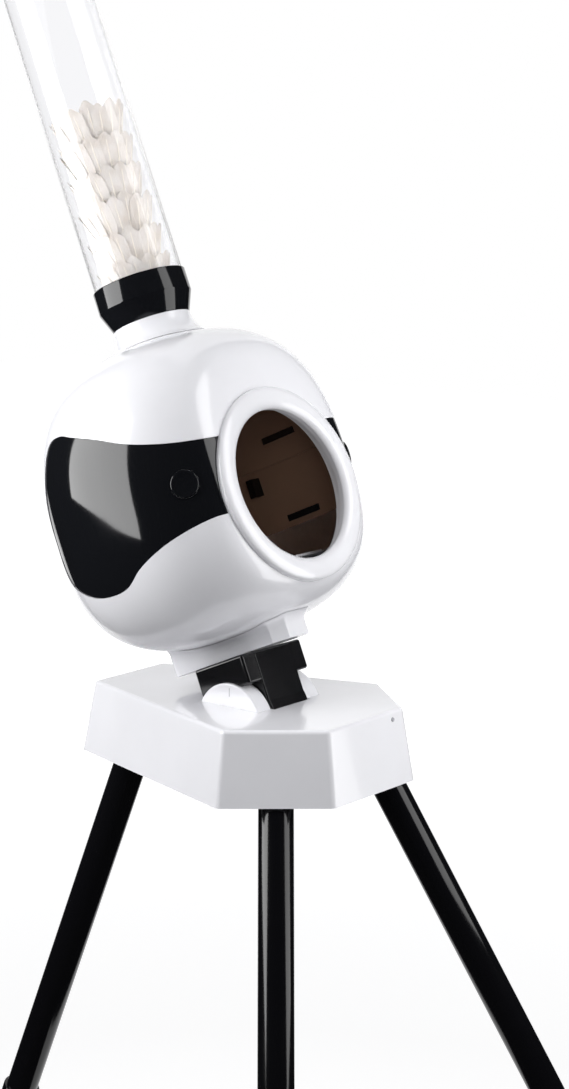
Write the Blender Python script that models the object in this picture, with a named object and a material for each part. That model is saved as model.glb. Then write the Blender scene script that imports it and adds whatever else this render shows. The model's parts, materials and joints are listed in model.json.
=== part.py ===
"""Shuttlecock machine: a helmet-shaped launcher head on a tilting bracket, a base and three legs.

Units are metres, +Z is up and the launch port faces -Y. The origin is on the floor, under the
centre of the feet. Base pieces are modelled with z = 0 on the base's top face and head pieces
with their origin on the tilt pivot, Z along the shuttle tube. Two empties set both in place.
"""

import math

import bmesh
import bpy
from mathutils import Matrix, Vector

# Stand
BASE_UNDERSIDE_HEIGHT = 0.560
LEG_RADIUS = 0.0142
LEG_WALL = 0.0015
LEG_INSET = 0.0095
FRONT_LEG_SPLAY = math.radians(27.0)
REAR_LEG_SPLAY = math.radians(23.0)
UPPER_LEG_REACH = 0.405
SLEEVE_RADIUS = 0.0168
SLEEVE_LENGTH = 0.048
SLEEVE_BACK = 0.021
SLEEVE_EDGE = 0.001
FOOT_RADIUS = 0.0178
FOOT_LENGTH = 0.042
FOOT_SOLE = 0.006
SOCKET_WALL = 0.0024
SOCKET_LENGTH = 0.034
SOCKET_CAP = 0.003
SOCKET_FLANGE = 0.0030
SOCKET_FLANGE_MARGIN = 0.0055

# Base casing: half widths and depths of its six-sided top
FRONT_HALF_WIDTH = 0.0478
FRONT_DEPTH = 0.1094
MIDDLE_HALF_WIDTH = 0.1003
MIDDLE_DEPTH = 0.0452
REAR_HALF_WIDTH = 0.0421
REAR_DEPTH = 0.1461
BASE_HEIGHT = 0.0600
BASE_FLARE = 0.0091
BASE_WALL = 0.0022
BASE_EDGE = 0.0028
PLATE_LIFT = 0.0070
PLATE_THICKNESS = 0.0030

# Tilt joint
TILT_AT_REST = math.radians(23.0)
TILT_TRAVEL = math.radians(20.0)
PIVOT_DEPTH = 0.0150
EAR_RADIUS = 0.0340
EAR_OUTER = 0.0391
EAR_THICKNESS = 0.0160
EAR_FLANGE = 0.0030
EAR_FLANGE_MARGIN = 0.0080
EAR_FLANGE_REACH = 0.0060
BRACKET_HALF_WIDTH = 0.0376
BRACKET_FRONT = 0.0334
BRACKET_BACK = 0.0210
BRACKET_HEIGHT = 0.0248
BRACKET_CLEARANCE = 0.0006
BRACKET_EDGE = 0.0012
LUG_PROUD = 0.0006
LUG_BACK = 0.0205
LUG_RADIUS = 0.0352
LUG_BOTTOM = 0.0200
ARCH_CLEARANCE = 0.0007
PIVOT_BOLT_RADIUS = 0.0040
BOLT_HEAD_RADIUS = 0.0072
BOLT_HEAD_THICKNESS = 0.0045
BRACKET_LOW = PIVOT_DEPTH + BRACKET_CLEARANCE + BRACKET_BACK * math.sin(TILT_AT_REST)
BRACKET_BOTTOM = BRACKET_LOW / math.cos(TILT_AT_REST)
BRACKET_TOP = BRACKET_BOTTOM + BRACKET_HEIGHT
LUG_FRONT = BRACKET_FRONT + LUG_PROUD

# Head form, measured from its own centre
HEAD_FORWARD = 0.0165
HEAD_HALF_WIDTH = 0.1230
HEAD_FRONT = 0.1120
HEAD_REAR = 0.1230
HEAD_UP = 0.1400
HEAD_DOWN = 0.1120
PLAN_POWER = 2.3
SIDE_POWER = 2.8
PORT_FACE = 0.1055
PORT_FACE_BLEND = 0.010
SHELL_WALL = 0.0045
SEAM_DEPTH = 0.0500

# Foot block between the head and the bracket
HEAD_FOOT_HALF_WIDTH = 0.0225
HEAD_FOOT_FRONT = 0.0665
HEAD_FOOT_BACK = 0.0600
HEAD_FOOT_HEIGHT = 0.0148
HEAD_FOOT_BITE = 0.0345
HEAD_FOOT_CORNER = 0.008
HEAD_RISE = BRACKET_TOP + HEAD_FOOT_HEIGHT + HEAD_DOWN
HEAD_FOOT_TOP = HEAD_RISE - HEAD_DOWN + HEAD_FOOT_BITE

# Launch port
PORT_DROP = 0.0095
PORT_RISE = HEAD_RISE - PORT_DROP
PORT_RADIUS = 0.0618
PORT_BARREL_WALL = 0.0080
PORT_BARREL_DEPTH = 0.0130
PORT_FLANGE = 0.0107
PORT_RING_RADIUS = PORT_RADIUS + PORT_BARREL_WALL + PORT_FLANGE
PORT_LIP_PROUD = 0.0040
PORT_LIP_EDGE = 0.0012
PORT_FLANGE_EDGE = 0.0006
PORT_FLANGE_RIM = 0.0010
PORT_FLANGE_SHOULDER = (0.0020, 0.0026)
PORT_LIP = PORT_FACE + PORT_LIP_PROUD

# Visor: its outline and its cap's place as depths and rises from the head's centre height
VISOR_DROP = 0.0007
VISOR_THICKNESS = 0.0019
VISOR_CAP_RADIUS = 0.0110
VISOR_CAP_PROUD = 0.0012
VISOR_CAP_EDGE = 0.0007
VISOR_CAP_SINK = 0.0004
VISOR_CAP_AT = (-0.0883, 0.0082)
VISOR_OUTLINE = [
    (-0.1300, 0.0335), (-0.1050, 0.0375), (-0.0837, 0.0425), (-0.0561, 0.0520), (-0.0264, 0.0656),
    (0.0000, 0.0755), (0.0180, 0.0815), (0.0368, 0.0785), (0.0540, 0.0555), (0.0700, 0.0265),
    (0.0765, 0.0005), (0.0640, -0.0295), (0.0363, -0.0470), (0.0120, -0.0535), (-0.0119, -0.0526),
    (-0.0324, -0.0425), (-0.0522, -0.0348), (-0.0736, -0.0284), (-0.1000, -0.0230), (-0.1300, -0.0215),
]

# Shuttlecocks nested in the tube
SHUTTLE_COUNT = 6
SHUTTLE_PITCH = 0.0266
CORK_RADIUS = 0.0130
CORK_OVERLAP = 0.0008
CORK_HEIGHT = SHUTTLE_PITCH + CORK_OVERLAP
SKIRT_TOP_RADIUS = 0.0295
SKIRT_WALL = 0.0008
SHUTTLE_LENGTH = 0.0850

# Neck, collar and magazine tube, on the head's own axis and round the shuttlecocks
SHUTTLE_CLEARANCE = 0.0011
SHUTTLE_BORE = SKIRT_TOP_RADIUS + SHUTTLE_CLEARANCE
NECK_BARREL_WALL = 0.0036
NECK_BARREL_RADIUS = SHUTTLE_BORE + NECK_BARREL_WALL
NECK_SINK = 0.0007
NECK_SEAT_HEIGHT = HEAD_RISE + HEAD_UP - NECK_SINK
NECK_BARREL_DEPTH = 0.0123
NECK_BARREL_BOTTOM = NECK_SEAT_HEIGHT - NECK_BARREL_DEPTH
NECK_FLANGE = 0.0073
NECK_SEAT_RADIUS = NECK_BARREL_RADIUS + NECK_FLANGE
NECK_LIP = 0.0008
NECK_RIM_DROP = 0.0006
NECK_RIM_HEIGHT = 0.0014
NECK_BARREL_STEP = 0.0010
NECK_FLARE_STEP = 0.0010
NECK_FLARE_POWER = 1.8
NECK_TOP_WALL = 0.0021
NECK_TOP_RADIUS = SHUTTLE_BORE + NECK_TOP_WALL
NECK_LENGTH = 0.0182
NECK_TOP = NECK_SEAT_HEIGHT + NECK_LENGTH
TUBE_CLEARANCE = 0.0062
TUBE_WALL = 0.0018
TUBE_RADIUS = SKIRT_TOP_RADIUS + TUBE_CLEARANCE + TUBE_WALL
TUBE_LENGTH = 0.385
COLLAR_WALL = 0.0020
COLLAR_EDGE = 0.0008
COLLAR_RADIUS = TUBE_RADIUS + COLLAR_WALL
COLLAR_CONE_LENGTH = 0.0173
COLLAR_CONE_TOP = NECK_TOP + COLLAR_CONE_LENGTH
COLLAR_BAND = 0.0187
COLLAR_TOP = COLLAR_CONE_TOP + COLLAR_BAND

# Gate that lets one shuttlecock fall
GATE_UNDER_NECK = 0.0035
GATE_TOP = NECK_BARREL_BOTTOM - GATE_UNDER_NECK
GATE_THICKNESS = 0.0024
GATE_PIVOT_X = 0.0470
GATE_PADDLE_RADIUS = 0.0140
GATE_HUB_RADIUS = 0.0070
GATE_BOSS_RADIUS = 0.0042
SERVO_LENGTH = 0.0232
SERVO_WIDTH = 0.0124
SERVO_SHAFT_RADIUS = 0.0030
SERVO_SHAFT_LENGTH = 0.0015
SERVO_TO_HUB = 0.0022

# Launch chamber
CEILING_RISE = 0.0868
CEILING_BOTTOM = HEAD_RISE + CEILING_RISE
CEILING_THICKNESS = 0.0025
CEILING_MARGIN = 0.0023
DROP_CLEARANCE = 0.0035
DROP_HOLE_RADIUS = SKIRT_TOP_RADIUS + DROP_CLEARANCE
LINER_DROP = 0.0775
LINER_BOTTOM = HEAD_RISE - LINER_DROP
LINER_GAP = 0.0003
LINER_WALL = 0.0022
LINER_BAND = 0.0020
LOWER_BAND_DROP = 0.0165
UPPER_BAND_RISE = 0.0255
PAN_DROP = 0.0660
PAN_FLOOR = HEAD_RISE - PAN_DROP
PAN_FLOOR_THICKNESS = 0.0020
PAN_RIM_DROP = 0.0310
PAN_WALL = 0.0015
PAN_PORT_REACH = 0.0800
MAT_THICKNESS = 0.0025
MAT_HALF_WIDTH = 0.0300
MAT_FRONT = 0.0600
MAT_BACK = 0.0200
MAT_CORNER = 0.0060
CATCH_LENGTH = 0.036
CATCH_HEIGHT = 0.0055
CATCH_FORWARD = 0.0180
CATCH_PROUD = 0.0030
UPPER_CATCH_RISE = 0.0465
LOWER_CATCH_RISE = -0.0230
SENSOR_AT = (0.0225, 0.0115)
SENSOR_SIZE = (0.0100, 0.0070, 0.0160)

# Striker and its drive
STRIKER_FROM_REAR = 0.0565
STRIKER_DROP = 0.0405
STRIKER_AXIS = (HEAD_REAR - HEAD_FORWARD - STRIKER_FROM_REAR, HEAD_RISE - STRIKER_DROP)
STRIKER_SHAFT_RADIUS = 0.0030
STRIKER_HUB_RADIUS = 0.0068
STRIKER_HALF_WIDTH = 0.0180
STRIKER_PLATE = 0.0055
STRIKER_REACH = 0.0720
PAD_THICKNESS = 0.0035
PAD_HALF_WIDTH = 0.0160
PAD_BOTTOM = 0.0160
PAD_TOP_MARGIN = 0.0020
CHEEK_ABOVE_HUB = 0.0020
SHAFT_OVERHANG = 0.0020
CHEEK_THICKNESS = 0.0030
CHEEK_HALF_DEPTH = 0.0100
CHEEK_GAP = 0.0006
BRACKET_FLOOR = 0.0020
SHAFT_CLEARANCE = 0.0003
GEAR_MODULE = 0.0010
STRIKER_TEETH = 36
PINION_TEETH = 12
GEAR_WIDTH = 0.0050
GEAR_GAP = 0.0012
TOOTH_ROOT_SHARE = 0.46
TOOTH_TIP_SHARE = 0.17
TOOTH_ADDENDUM = 0.85
TOOTH_DEDENDUM = 1.15
MOTOR_RADIUS = 0.0115
MOTOR_LENGTH = 0.0320
MOTOR_SHAFT_RADIUS = 0.0012
MOTOR_SHAFT_OVERHANG = 0.0010
CRADLE_INSET = 0.0030
CRADLE_HALF_DEPTH = 0.0095
CRADLE_DROP = 0.0052

# Base electrics
CELL_RADIUS = 0.0130
CELL_LENGTH = 0.0490
CELL_NUB = 0.0015
CELL_NUB_RADIUS = 0.0030
CELL_COUNT = 4
CELL_SPACING = 0.0256
CELL_CENTRE_Y = 0.0680
BATTERY_BOX_WALL = 0.0018
BATTERY_BOX_HEIGHT = 0.0200
DOOR_HALF_WIDTH = 0.0460
DOOR_FRONT = 0.0430
DOOR_LENGTH = 0.0480
DOOR_GRIP_HALF_WIDTH = 0.0120
DOOR_GRIP = (0.0040, 0.0080, 0.0008)
BOARD_SIZE = (0.0640, 0.0360, 0.0016)
BOARD_CENTRE_Y = -0.0680
BOARD_STANDOFF = 0.0060
STANDOFF_RADIUS = 0.0030
STANDOFF_INSET = 0.0040
CHIPS = ((-0.014, 0.004, 0.007, 0.002), (0.012, -0.005, 0.009, 0.009))
CONTROL_DEPTH = 0.0250
SWITCH_X = -0.0265
KNOB_X = 0.0265
SWITCH_SIZE = (0.0210, 0.0150)
SWITCH_RIM = 0.0018
SWITCH_CORNER = 0.0012
SWITCH_BODY = 0.0110
SWITCH_WELL = 0.0070
SWITCH_WALL = 0.0012
ROCKER_GAP = 0.0004
ROCKER_MIDDLE = 0.0026
ROCKER_ENDS = 0.0036
ROCKER_DEPTH = 0.0045
ROCKER_TILT = math.radians(8.0)
KNOB_RADIUS = 0.0095
KNOB_HEIGHT = 0.0110
KNOB_SHAFT_RADIUS = 0.0035
KNOB_SHAFT_DEPTH = 0.0090
POINTER_HALF_WIDTH = 0.0008
DIAL_RADIUS = 0.0080
DIAL_DEPTH = 0.0175
LED_RADIUS = 0.0016
LED_PROUD = 0.0006
LED_BACK = 0.0060
LED_X = 0.0330
LED_DEPTH = 0.0070

# Fits and facets
GAP = 0.0003
FORM_SEGMENTS = 44
FORM_RINGS = 24
INNER_SEGMENTS = 36
INNER_RINGS = 20
ROUND = 32
SMALL_ROUND = 16
REACH = 0.30
BORE_REACH = 0.10
CUT = 0.01

PAINTS = {
    "white_abs": ((0.86, 0.86, 0.88), 0.22, 0.0),
    "black_gloss": ((0.012, 0.013, 0.015), 0.12, 0.0),
    "black_abs": ((0.016, 0.016, 0.018), 0.30, 0.0),
    "black_rubber": ((0.020, 0.020, 0.020), 0.75, 0.0),
    "clear_plastic": ((0.93, 0.95, 0.97), 0.06, 0.0),
    "feather": ((0.90, 0.87, 0.80), 0.70, 0.0),
    "brown_liner": ((0.075, 0.048, 0.033), 0.42, 0.0),
    "steel": ((0.62, 0.63, 0.65), 0.28, 1.0),
    "grey_nylon": ((0.55, 0.55, 0.53), 0.45, 0.0),
    "circuit_green": ((0.02, 0.16, 0.07), 0.40, 0.0),
    "battery_wrap": ((0.10, 0.16, 0.36), 0.35, 0.2),
    "led_lens": ((0.42, 0.42, 0.45), 0.10, 0.0),
    "leg_paint": ((0.012, 0.012, 0.013), 0.15, 0.0),
    "pan_metal": ((0.68, 0.69, 0.71), 0.30, 1.0),
}


def clear_objects():
    """Remove whatever the file holds."""
    for item in list(bpy.data.objects):
        bpy.data.objects.remove(item, do_unlink=True)


def paint(name):
    """Return the named material, made on first use."""
    material = bpy.data.materials.get(name)
    if material is None:
        colour, roughness, metallic = PAINTS[name]
        material = bpy.data.materials.new(name)
        material.use_nodes = True
        shader = material.node_tree.nodes["Principled BSDF"]
        shader.inputs["Base Color"].default_value = (*colour, 1.0)
        shader.inputs["Roughness"].default_value = roughness
        shader.inputs["Metallic"].default_value = metallic
    return material


def link_mesh(name, bm):
    """Turn a bmesh into a linked object with outward faces."""
    bmesh.ops.recalc_face_normals(bm, faces=bm.faces)
    mesh = bpy.data.meshes.new(name)
    bm.to_mesh(mesh)
    bm.free()
    item = bpy.data.objects.new(name, mesh)
    bpy.context.scene.collection.objects.link(item)
    return item


def loft(name, rings):
    """Closed solid through rings of equal point counts, capped at both ends."""
    bm = bmesh.new()
    loops = [[bm.verts.new(point) for point in ring] for ring in rings]
    count = len(rings[0])
    for lower, upper in zip(loops, loops[1:]):
        for i in range(count):
            j = (i + 1) % count
            bm.faces.new((lower[i], lower[j], upper[j], upper[i]))
    bm.faces.new(loops[0])
    bm.faces.new(loops[-1])
    return link_mesh(name, bm)


def turned(name, profile, segments=ROUND):
    """Solid of revolution around Z from a closed outline of (radius, height) points."""
    bm = bmesh.new()
    columns = []
    for radius, height in profile:
        if radius < 1e-9:
            columns.append([bm.verts.new((0.0, 0.0, height))])
            continue
        steps = [2.0 * math.pi * i / segments for i in range(segments)]
        ring = [bm.verts.new((radius * math.cos(a), radius * math.sin(a), height)) for a in steps]
        columns.append(ring)
    for first, second in zip(columns, columns[1:] + columns[:1]):
        if len(first) == 1 and len(second) == 1:
            continue
        for i in range(segments):
            j = (i + 1) % segments
            corners = []
            for column, index in ((first, i), (first, j), (second, j), (second, i)):
                corner = column[index % len(column)]
                if corner not in corners:
                    corners.append(corner)
            bm.faces.new(corners)
    return link_mesh(name, bm)


def rod(name, start, end, radius, bore=0.0, segments=ROUND):
    """Round bar, or tube with a bore, between two points."""
    start, end = Vector(start), Vector(end)
    length = (end - start).length
    if bore > 0.0:
        profile = [(bore, 0.0), (radius, 0.0), (radius, length), (bore, length)]
    else:
        profile = [(0.0, 0.0), (radius, 0.0), (radius, length), (0.0, length)]
    item = turned(name, profile, segments)
    turn = (end - start).to_track_quat("Z", "Y").to_matrix().to_4x4()
    item.data.transform(Matrix.Translation(start) @ turn)
    return item


def block(name, low, high, edge=0.0, upright_only=False):
    """Box between two corners, with bevelled edges when edge is set."""
    bm = bmesh.new()
    bmesh.ops.create_cube(bm, size=1.0)
    low, high = Vector(low), Vector(high)
    for vert in bm.verts:
        vert.co = Vector([low[i] + (vert.co[i] + 0.5) * (high[i] - low[i]) for i in range(3)])
    if edge > 0.0:
        edges = [e for e in bm.edges]
        if upright_only:
            edges = [e for e in bm.edges if abs((e.verts[0].co - e.verts[1].co).z) > 1e-6]
        bmesh.ops.bevel(bm, geom=edges, offset=edge, segments=2, profile=0.5, affect="EDGES")
    return link_mesh(name, bm)


def prism(name, outline, axis, start, end):
    """Solid with a flat outline, pushed along X or Z between two places."""
    if axis == "X":
        rings = [[(place, a, b) for a, b in outline] for place in (start, end)]
    else:
        rings = [[(a, b, place) for a, b in outline] for place in (start, end)]
    return loft(name, rings)


def boolean(target, tool, operation="DIFFERENCE", keep_tool=False):
    """Apply a boolean with another object, which is used up unless it is kept."""
    bpy.context.view_layer.update()
    modifier = target.modifiers.new("boolean", "BOOLEAN")
    modifier.operation = operation
    modifier.solver = "EXACT"
    modifier.object = tool
    depsgraph = bpy.context.evaluated_depsgraph_get()
    result = bpy.data.meshes.new_from_object(target.evaluated_get(depsgraph))
    target.modifiers.remove(modifier)
    old = target.data
    target.data = result
    bpy.data.meshes.remove(old)
    if not keep_tool:
        bpy.data.objects.remove(tool, do_unlink=True)
    return target


def finish(item, paint_name, parent, origin=(0.0, 0.0, 0.0), smooth=35.0):
    """Dress a piece, move its origin to the given point and hang it on its frame."""
    item.data.transform(Matrix.Translation(-Vector(origin)))
    item.data.materials.clear()
    item.data.materials.append(paint(paint_name))
    item.data.shade_smooth()
    item.data.set_sharp_from_angle(angle=math.radians(smooth))
    item.location = origin
    item.parent = parent
    return item


def frame_empty(name, parent=None, location=(0.0, 0.0, 0.0), turn_x=0.0):
    """Empty that carries a group of pieces."""
    item = bpy.data.objects.new(name, None)
    bpy.context.scene.collection.objects.link(item)
    item.location = location
    item.rotation_euler = (turn_x, 0.0, 0.0)
    item.parent = parent
    return item


# Stand geometry

def base_outline(offset=0.0):
    """Corners of the base's six-sided plan, pushed outwards by an offset."""
    right = [(FRONT_HALF_WIDTH, -FRONT_DEPTH), (MIDDLE_HALF_WIDTH, -MIDDLE_DEPTH)]
    right.append((REAR_HALF_WIDTH, REAR_DEPTH))
    corners = right + [(-x, y) for x, y in reversed(right)]
    lines = []
    for (x0, y0), (x1, y1) in zip(corners, corners[1:] + corners[:1]):
        length = math.hypot(x1 - x0, y1 - y0)
        normal = ((y1 - y0) / length, -(x1 - x0) / length)
        lines.append((normal, normal[0] * x0 + normal[1] * y0 + offset))
    moved = []
    for (n0, c0), (n1, c1) in zip(lines[-1:] + lines[:-1], lines):
        cross = n0[0] * n1[1] - n0[1] * n1[0]
        moved.append(((c0 * n1[1] - c1 * n0[1]) / cross, (n0[0] * c1 - n1[0] * c0) / cross))
    return moved


def base_ring(height, inset=0.0):
    """Plan of the flared base at a height below its top."""
    flare = BASE_FLARE * -height / BASE_HEIGHT
    return [(x, y, height) for x, y in base_outline(flare - inset)]


def leg_line(place):
    """Return a leg's start on the base's underside, its direction and its outward heading."""
    if place == "rear":
        heading = Vector((0.0, 1.0, 0.0))
        middle = Vector((0.0, REAR_DEPTH, -BASE_HEIGHT))
        splay = REAR_LEG_SPLAY
    else:
        side = -1.0 if place == "front_left" else 1.0
        run = Vector((MIDDLE_HALF_WIDTH - FRONT_HALF_WIDTH, FRONT_DEPTH - MIDDLE_DEPTH, 0.0))
        run.normalize()
        heading = Vector((side * run.y, -run.x, 0.0))
        half_way = 0.5 * (FRONT_HALF_WIDTH + MIDDLE_HALF_WIDTH)
        middle = Vector((side * half_way, -0.5 * (FRONT_DEPTH + MIDDLE_DEPTH), -BASE_HEIGHT))
        splay = FRONT_LEG_SPLAY
    direction = heading * math.sin(splay) - Vector((0.0, 0.0, math.cos(splay)))
    return middle - heading * LEG_INSET, direction, heading


def leg_length(place):
    """Length along a leg from the base's underside to the floor."""
    splay = REAR_LEG_SPLAY if place == "rear" else FRONT_LEG_SPLAY
    return BASE_UNDERSIDE_HEIGHT / math.cos(splay)


def foot_reach(place):
    """Farthest point of a foot along Y, measured from the pivot."""
    start, direction, heading = leg_line(place)
    centre = start + direction * leg_length(place)
    splay = REAR_LEG_SPLAY if place == "rear" else FRONT_LEG_SPLAY
    along = FOOT_RADIUS / math.cos(splay) * heading.y
    across = FOOT_RADIUS * heading.x
    sign = 1.0 if place == "rear" else -1.0
    return centre.y + sign * math.hypot(along, across)


LEG_PLACES = ("front_left", "front_right", "rear")
STAND_SHIFT = -0.5 * (foot_reach("rear") + foot_reach("front_left"))
BASE_TOP_HEIGHT = BASE_UNDERSIDE_HEIGHT + BASE_HEIGHT
PLATE_TOP = -BASE_HEIGHT + PLATE_LIFT + PLATE_THICKNESS
PLATE_BOTTOM = -BASE_HEIGHT + PLATE_LIFT
EAR_INNER = EAR_OUTER - EAR_THICKNESS
LUG_HALF_WIDTH = EAR_INNER - 2.0 * GAP
SLOT_LEVEL = PIVOT_DEPTH - BASE_WALL
LUG_UPRIGHT = TILT_AT_REST - TILT_TRAVEL
LUG_SWEEP = LUG_FRONT / math.cos(LUG_UPRIGHT) - SLOT_LEVEL * math.tan(LUG_UPRIGHT)
SLOT_FRONT = max(math.sqrt(LUG_RADIUS ** 2 - SLOT_LEVEL ** 2), LUG_SWEEP) + GAP


def leg_cutter(name, place, radius):
    """Long slanted cylinder along a leg."""
    start, direction, _ = leg_line(place)
    return rod(name, start - direction * BORE_REACH, start + direction * BORE_REACH, radius, segments=24)


def build_base_shell(parent):
    """White casing with a window for the ears and the tilting lug, open below."""
    bm = bmesh.new()
    loops = [[bm.verts.new(point) for point in base_ring(z)] for z in (-BASE_HEIGHT, 0.0)]
    count = len(loops[0])
    for i in range(count):
        j = (i + 1) % count
        bm.faces.new((loops[0][i], loops[0][j], loops[1][j], loops[1][i]))
    bm.faces.new(loops[0])
    bm.faces.new(loops[1])
    edges = [e for e in bm.edges if max(v.co.z for v in e.verts) > -GAP]
    bmesh.ops.bevel(bm, geom=edges, offset=BASE_EDGE, segments=2, profile=0.5, affect="EDGES")
    shell = link_mesh("base_shell", bm)
    floor, ceiling = -BASE_HEIGHT - CUT, -BASE_WALL
    boolean(shell, loft("cavity", [base_ring(floor, BASE_WALL), base_ring(ceiling, BASE_WALL)]))
    window = EAR_OUTER + GAP
    ends = ((-window, 0.0, -PIVOT_DEPTH), (window, 0.0, -PIVOT_DEPTH))
    boolean(shell, rod("ears", *ends, EAR_RADIUS + GAP, segments=48))
    boolean(shell, block("lug", (-EAR_INNER, -SLOT_FRONT, -PIVOT_DEPTH), (EAR_INNER, 0.0, CUT)))
    cut_rear_panel(shell)
    boolean(shell, rod("led_hole", led_point(CUT), led_point(-2.0 * CUT), LED_RADIUS + GAP, segments=12))
    return finish(shell, "white_abs", parent)


def build_base_plate(parent):
    """Black plate that closes the base from below, with the legs' holes and the battery door's."""
    rings = [base_ring(z, BASE_WALL + GAP) for z in (PLATE_BOTTOM, PLATE_TOP)]
    plate = loft("base_plate", rings)
    for place in LEG_PLACES:
        boolean(plate, leg_cutter("leg_hole", place, LEG_RADIUS + 2.0 * GAP))
    half, front, back = DOOR_HALF_WIDTH, DOOR_FRONT, DOOR_FRONT + DOOR_LENGTH
    opening = ((-half, front, PLATE_BOTTOM - CUT), (half, back, PLATE_TOP + CUT))
    boolean(plate, block("door_hole", *opening))
    return finish(plate, "black_abs", parent)


def build_socket(place, parent):
    """Slanted cup with a flat flange that holds one leg."""
    start, direction, _ = leg_line(place)
    outer = LEG_RADIUS + GAP + SOCKET_WALL
    top = start - direction * SOCKET_LENGTH
    body = rod(f"leg_socket_{place}", start, top, outer, segments=24)
    at_plate = start + direction * ((PLATE_TOP - start.z) / direction.z)
    margin = outer + SOCKET_FLANGE_MARGIN
    low = (at_plate.x - margin, at_plate.y - margin, PLATE_TOP + GAP)
    high = (at_plate.x + margin, at_plate.y + margin, PLATE_TOP + GAP + SOCKET_FLANGE)
    boolean(body, block("flange", low, high, SOCKET_FLANGE_MARGIN, upright_only=True), "UNION")
    inside = [base_ring(PLATE_TOP + GAP, BASE_WALL + GAP), base_ring(-BASE_WALL - GAP, BASE_WALL + GAP)]
    boolean(body, loft("inside", inside), "INTERSECT")
    bore_end = top + direction * SOCKET_CAP
    boolean(body, rod("bore", start + direction * BORE_REACH, bore_end, LEG_RADIUS + GAP, segments=24))
    return finish(body, "black_abs", parent)


def build_leg(place, parent):
    """One leg: upper tube with its coupling, lower tube and rubber foot."""
    start, direction, _ = leg_line(place)
    total = leg_length(place)
    bore = LEG_RADIUS - LEG_WALL
    sleeve_start = UPPER_LEG_REACH - SLEEVE_BACK
    upper_top = start - direction * (SOCKET_LENGTH - SOCKET_CAP - GAP)
    hidden = SOCKET_LENGTH - SOCKET_CAP - GAP
    step, joint, end = hidden + sleeve_start, hidden + UPPER_LEG_REACH, hidden + sleeve_start + SLEEVE_LENGTH
    profile = [
        (bore, 0.0), (LEG_RADIUS, 0.0), (LEG_RADIUS, step), (SLEEVE_RADIUS, step + SLEEVE_EDGE),
        (SLEEVE_RADIUS, end), (LEG_RADIUS + GAP, end), (LEG_RADIUS + GAP, joint), (bore, joint),
    ]
    upper = turned(f"leg_upper_{place}", profile, 24)
    turn = direction.to_track_quat("Z", "Y").to_matrix().to_4x4()
    upper.data.transform(Matrix.Translation(upper_top) @ turn)
    finish(upper, "leg_paint", parent)
    foot_start = total - FOOT_LENGTH
    lower_end = total - FOOT_SOLE - LEG_RADIUS * math.tan(FRONT_LEG_SPLAY)
    ends = (start + direction * (UPPER_LEG_REACH + GAP), start + direction * lower_end)
    finish(rod(f"leg_lower_{place}", *ends, LEG_RADIUS, bore, 24), "leg_paint", parent)
    foot = rod(f"leg_foot_{place}", start + direction * foot_start, start + direction * (total + FOOT_LENGTH),
               FOOT_RADIUS, segments=24)
    floor = -BASE_TOP_HEIGHT
    below = ((-2.0 * REACH, -2.0 * REACH, floor - FOOT_LENGTH - REACH), (2.0 * REACH, 2.0 * REACH, floor))
    boolean(foot, block("floor", *below))
    ends = (start + direction * (foot_start - CUT), start + direction * (lower_end + GAP))
    boolean(foot, rod("seat", *ends, LEG_RADIUS + GAP, segments=24))
    finish(foot, "black_rubber", parent)


def build_yoke(parent):
    """White pair of round ears that rise through the base's top and carry the pivot."""
    pieces = []
    for side in (-1.0, 1.0):
        ends = ((side * EAR_INNER, 0.0, -PIVOT_DEPTH), (side * EAR_OUTER, 0.0, -PIVOT_DEPTH))
        pieces.append(rod("tilt_yoke", *ends, EAR_RADIUS, segments=48))
    yoke, other = pieces
    boolean(yoke, other, "UNION")
    flange_top = -BASE_WALL - GAP
    chord = EAR_RADIUS + EAR_FLANGE_REACH
    across = EAR_OUTER + EAR_FLANGE_MARGIN
    low = (-across, -chord, flange_top - EAR_FLANGE)
    flange = block("flange", low, (across, chord, flange_top))
    boolean(yoke, flange, "UNION")
    clear = LUG_RADIUS + GAP
    gap = block("gap", (-EAR_INNER, -clear, -REACH), (EAR_INNER, clear, REACH))
    boolean(yoke, gap)
    bolt = PIVOT_BOLT_RADIUS + GAP
    ends = ((-BORE_REACH, 0.0, -PIVOT_DEPTH), (BORE_REACH, 0.0, -PIVOT_DEPTH))
    boolean(yoke, rod("bolt_hole", *ends, bolt, segments=SMALL_ROUND))
    return finish(yoke, "white_abs", parent)


def build_pivot(parent):
    """Steel bolt through the ears and the lug, with its nut."""
    head_start = EAR_OUTER + GAP
    profile = [
        (0.0, -head_start - BOLT_HEAD_THICKNESS), (BOLT_HEAD_RADIUS, -head_start - BOLT_HEAD_THICKNESS),
        (BOLT_HEAD_RADIUS, -head_start), (PIVOT_BOLT_RADIUS, -head_start),
        (PIVOT_BOLT_RADIUS, head_start + BOLT_HEAD_THICKNESS), (0.0, head_start + BOLT_HEAD_THICKNESS),
    ]
    place = Matrix.Translation((0.0, 0.0, -PIVOT_DEPTH)) @ Matrix.Rotation(math.radians(90.0), 4, "Y")
    bolt = turned("pivot_bolt", profile, SMALL_ROUND)
    bolt.data.transform(place)
    finish(bolt, "steel", parent)
    nut_ring = [(PIVOT_BOLT_RADIUS + GAP, head_start), (BOLT_HEAD_RADIUS, head_start)]
    nut_ring += [(r, head_start + BOLT_HEAD_THICKNESS) for r, _ in reversed(nut_ring)]
    nut = turned("pivot_nut", nut_ring, 24)
    nut.data.transform(place)
    finish(nut, "steel", parent)


# Base electrics

def rear_panel_place(x, depth):
    """Place on the base's sloping rear face, with Z along the face's outward normal."""
    slope = math.atan2(BASE_FLARE, BASE_HEIGHT)
    y = REAR_DEPTH + BASE_FLARE * depth / BASE_HEIGHT
    tilt = Matrix.Rotation(-math.radians(90.0) + slope, 4, "X")
    return Matrix.Translation((x, y, -depth)) @ tilt


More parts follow.
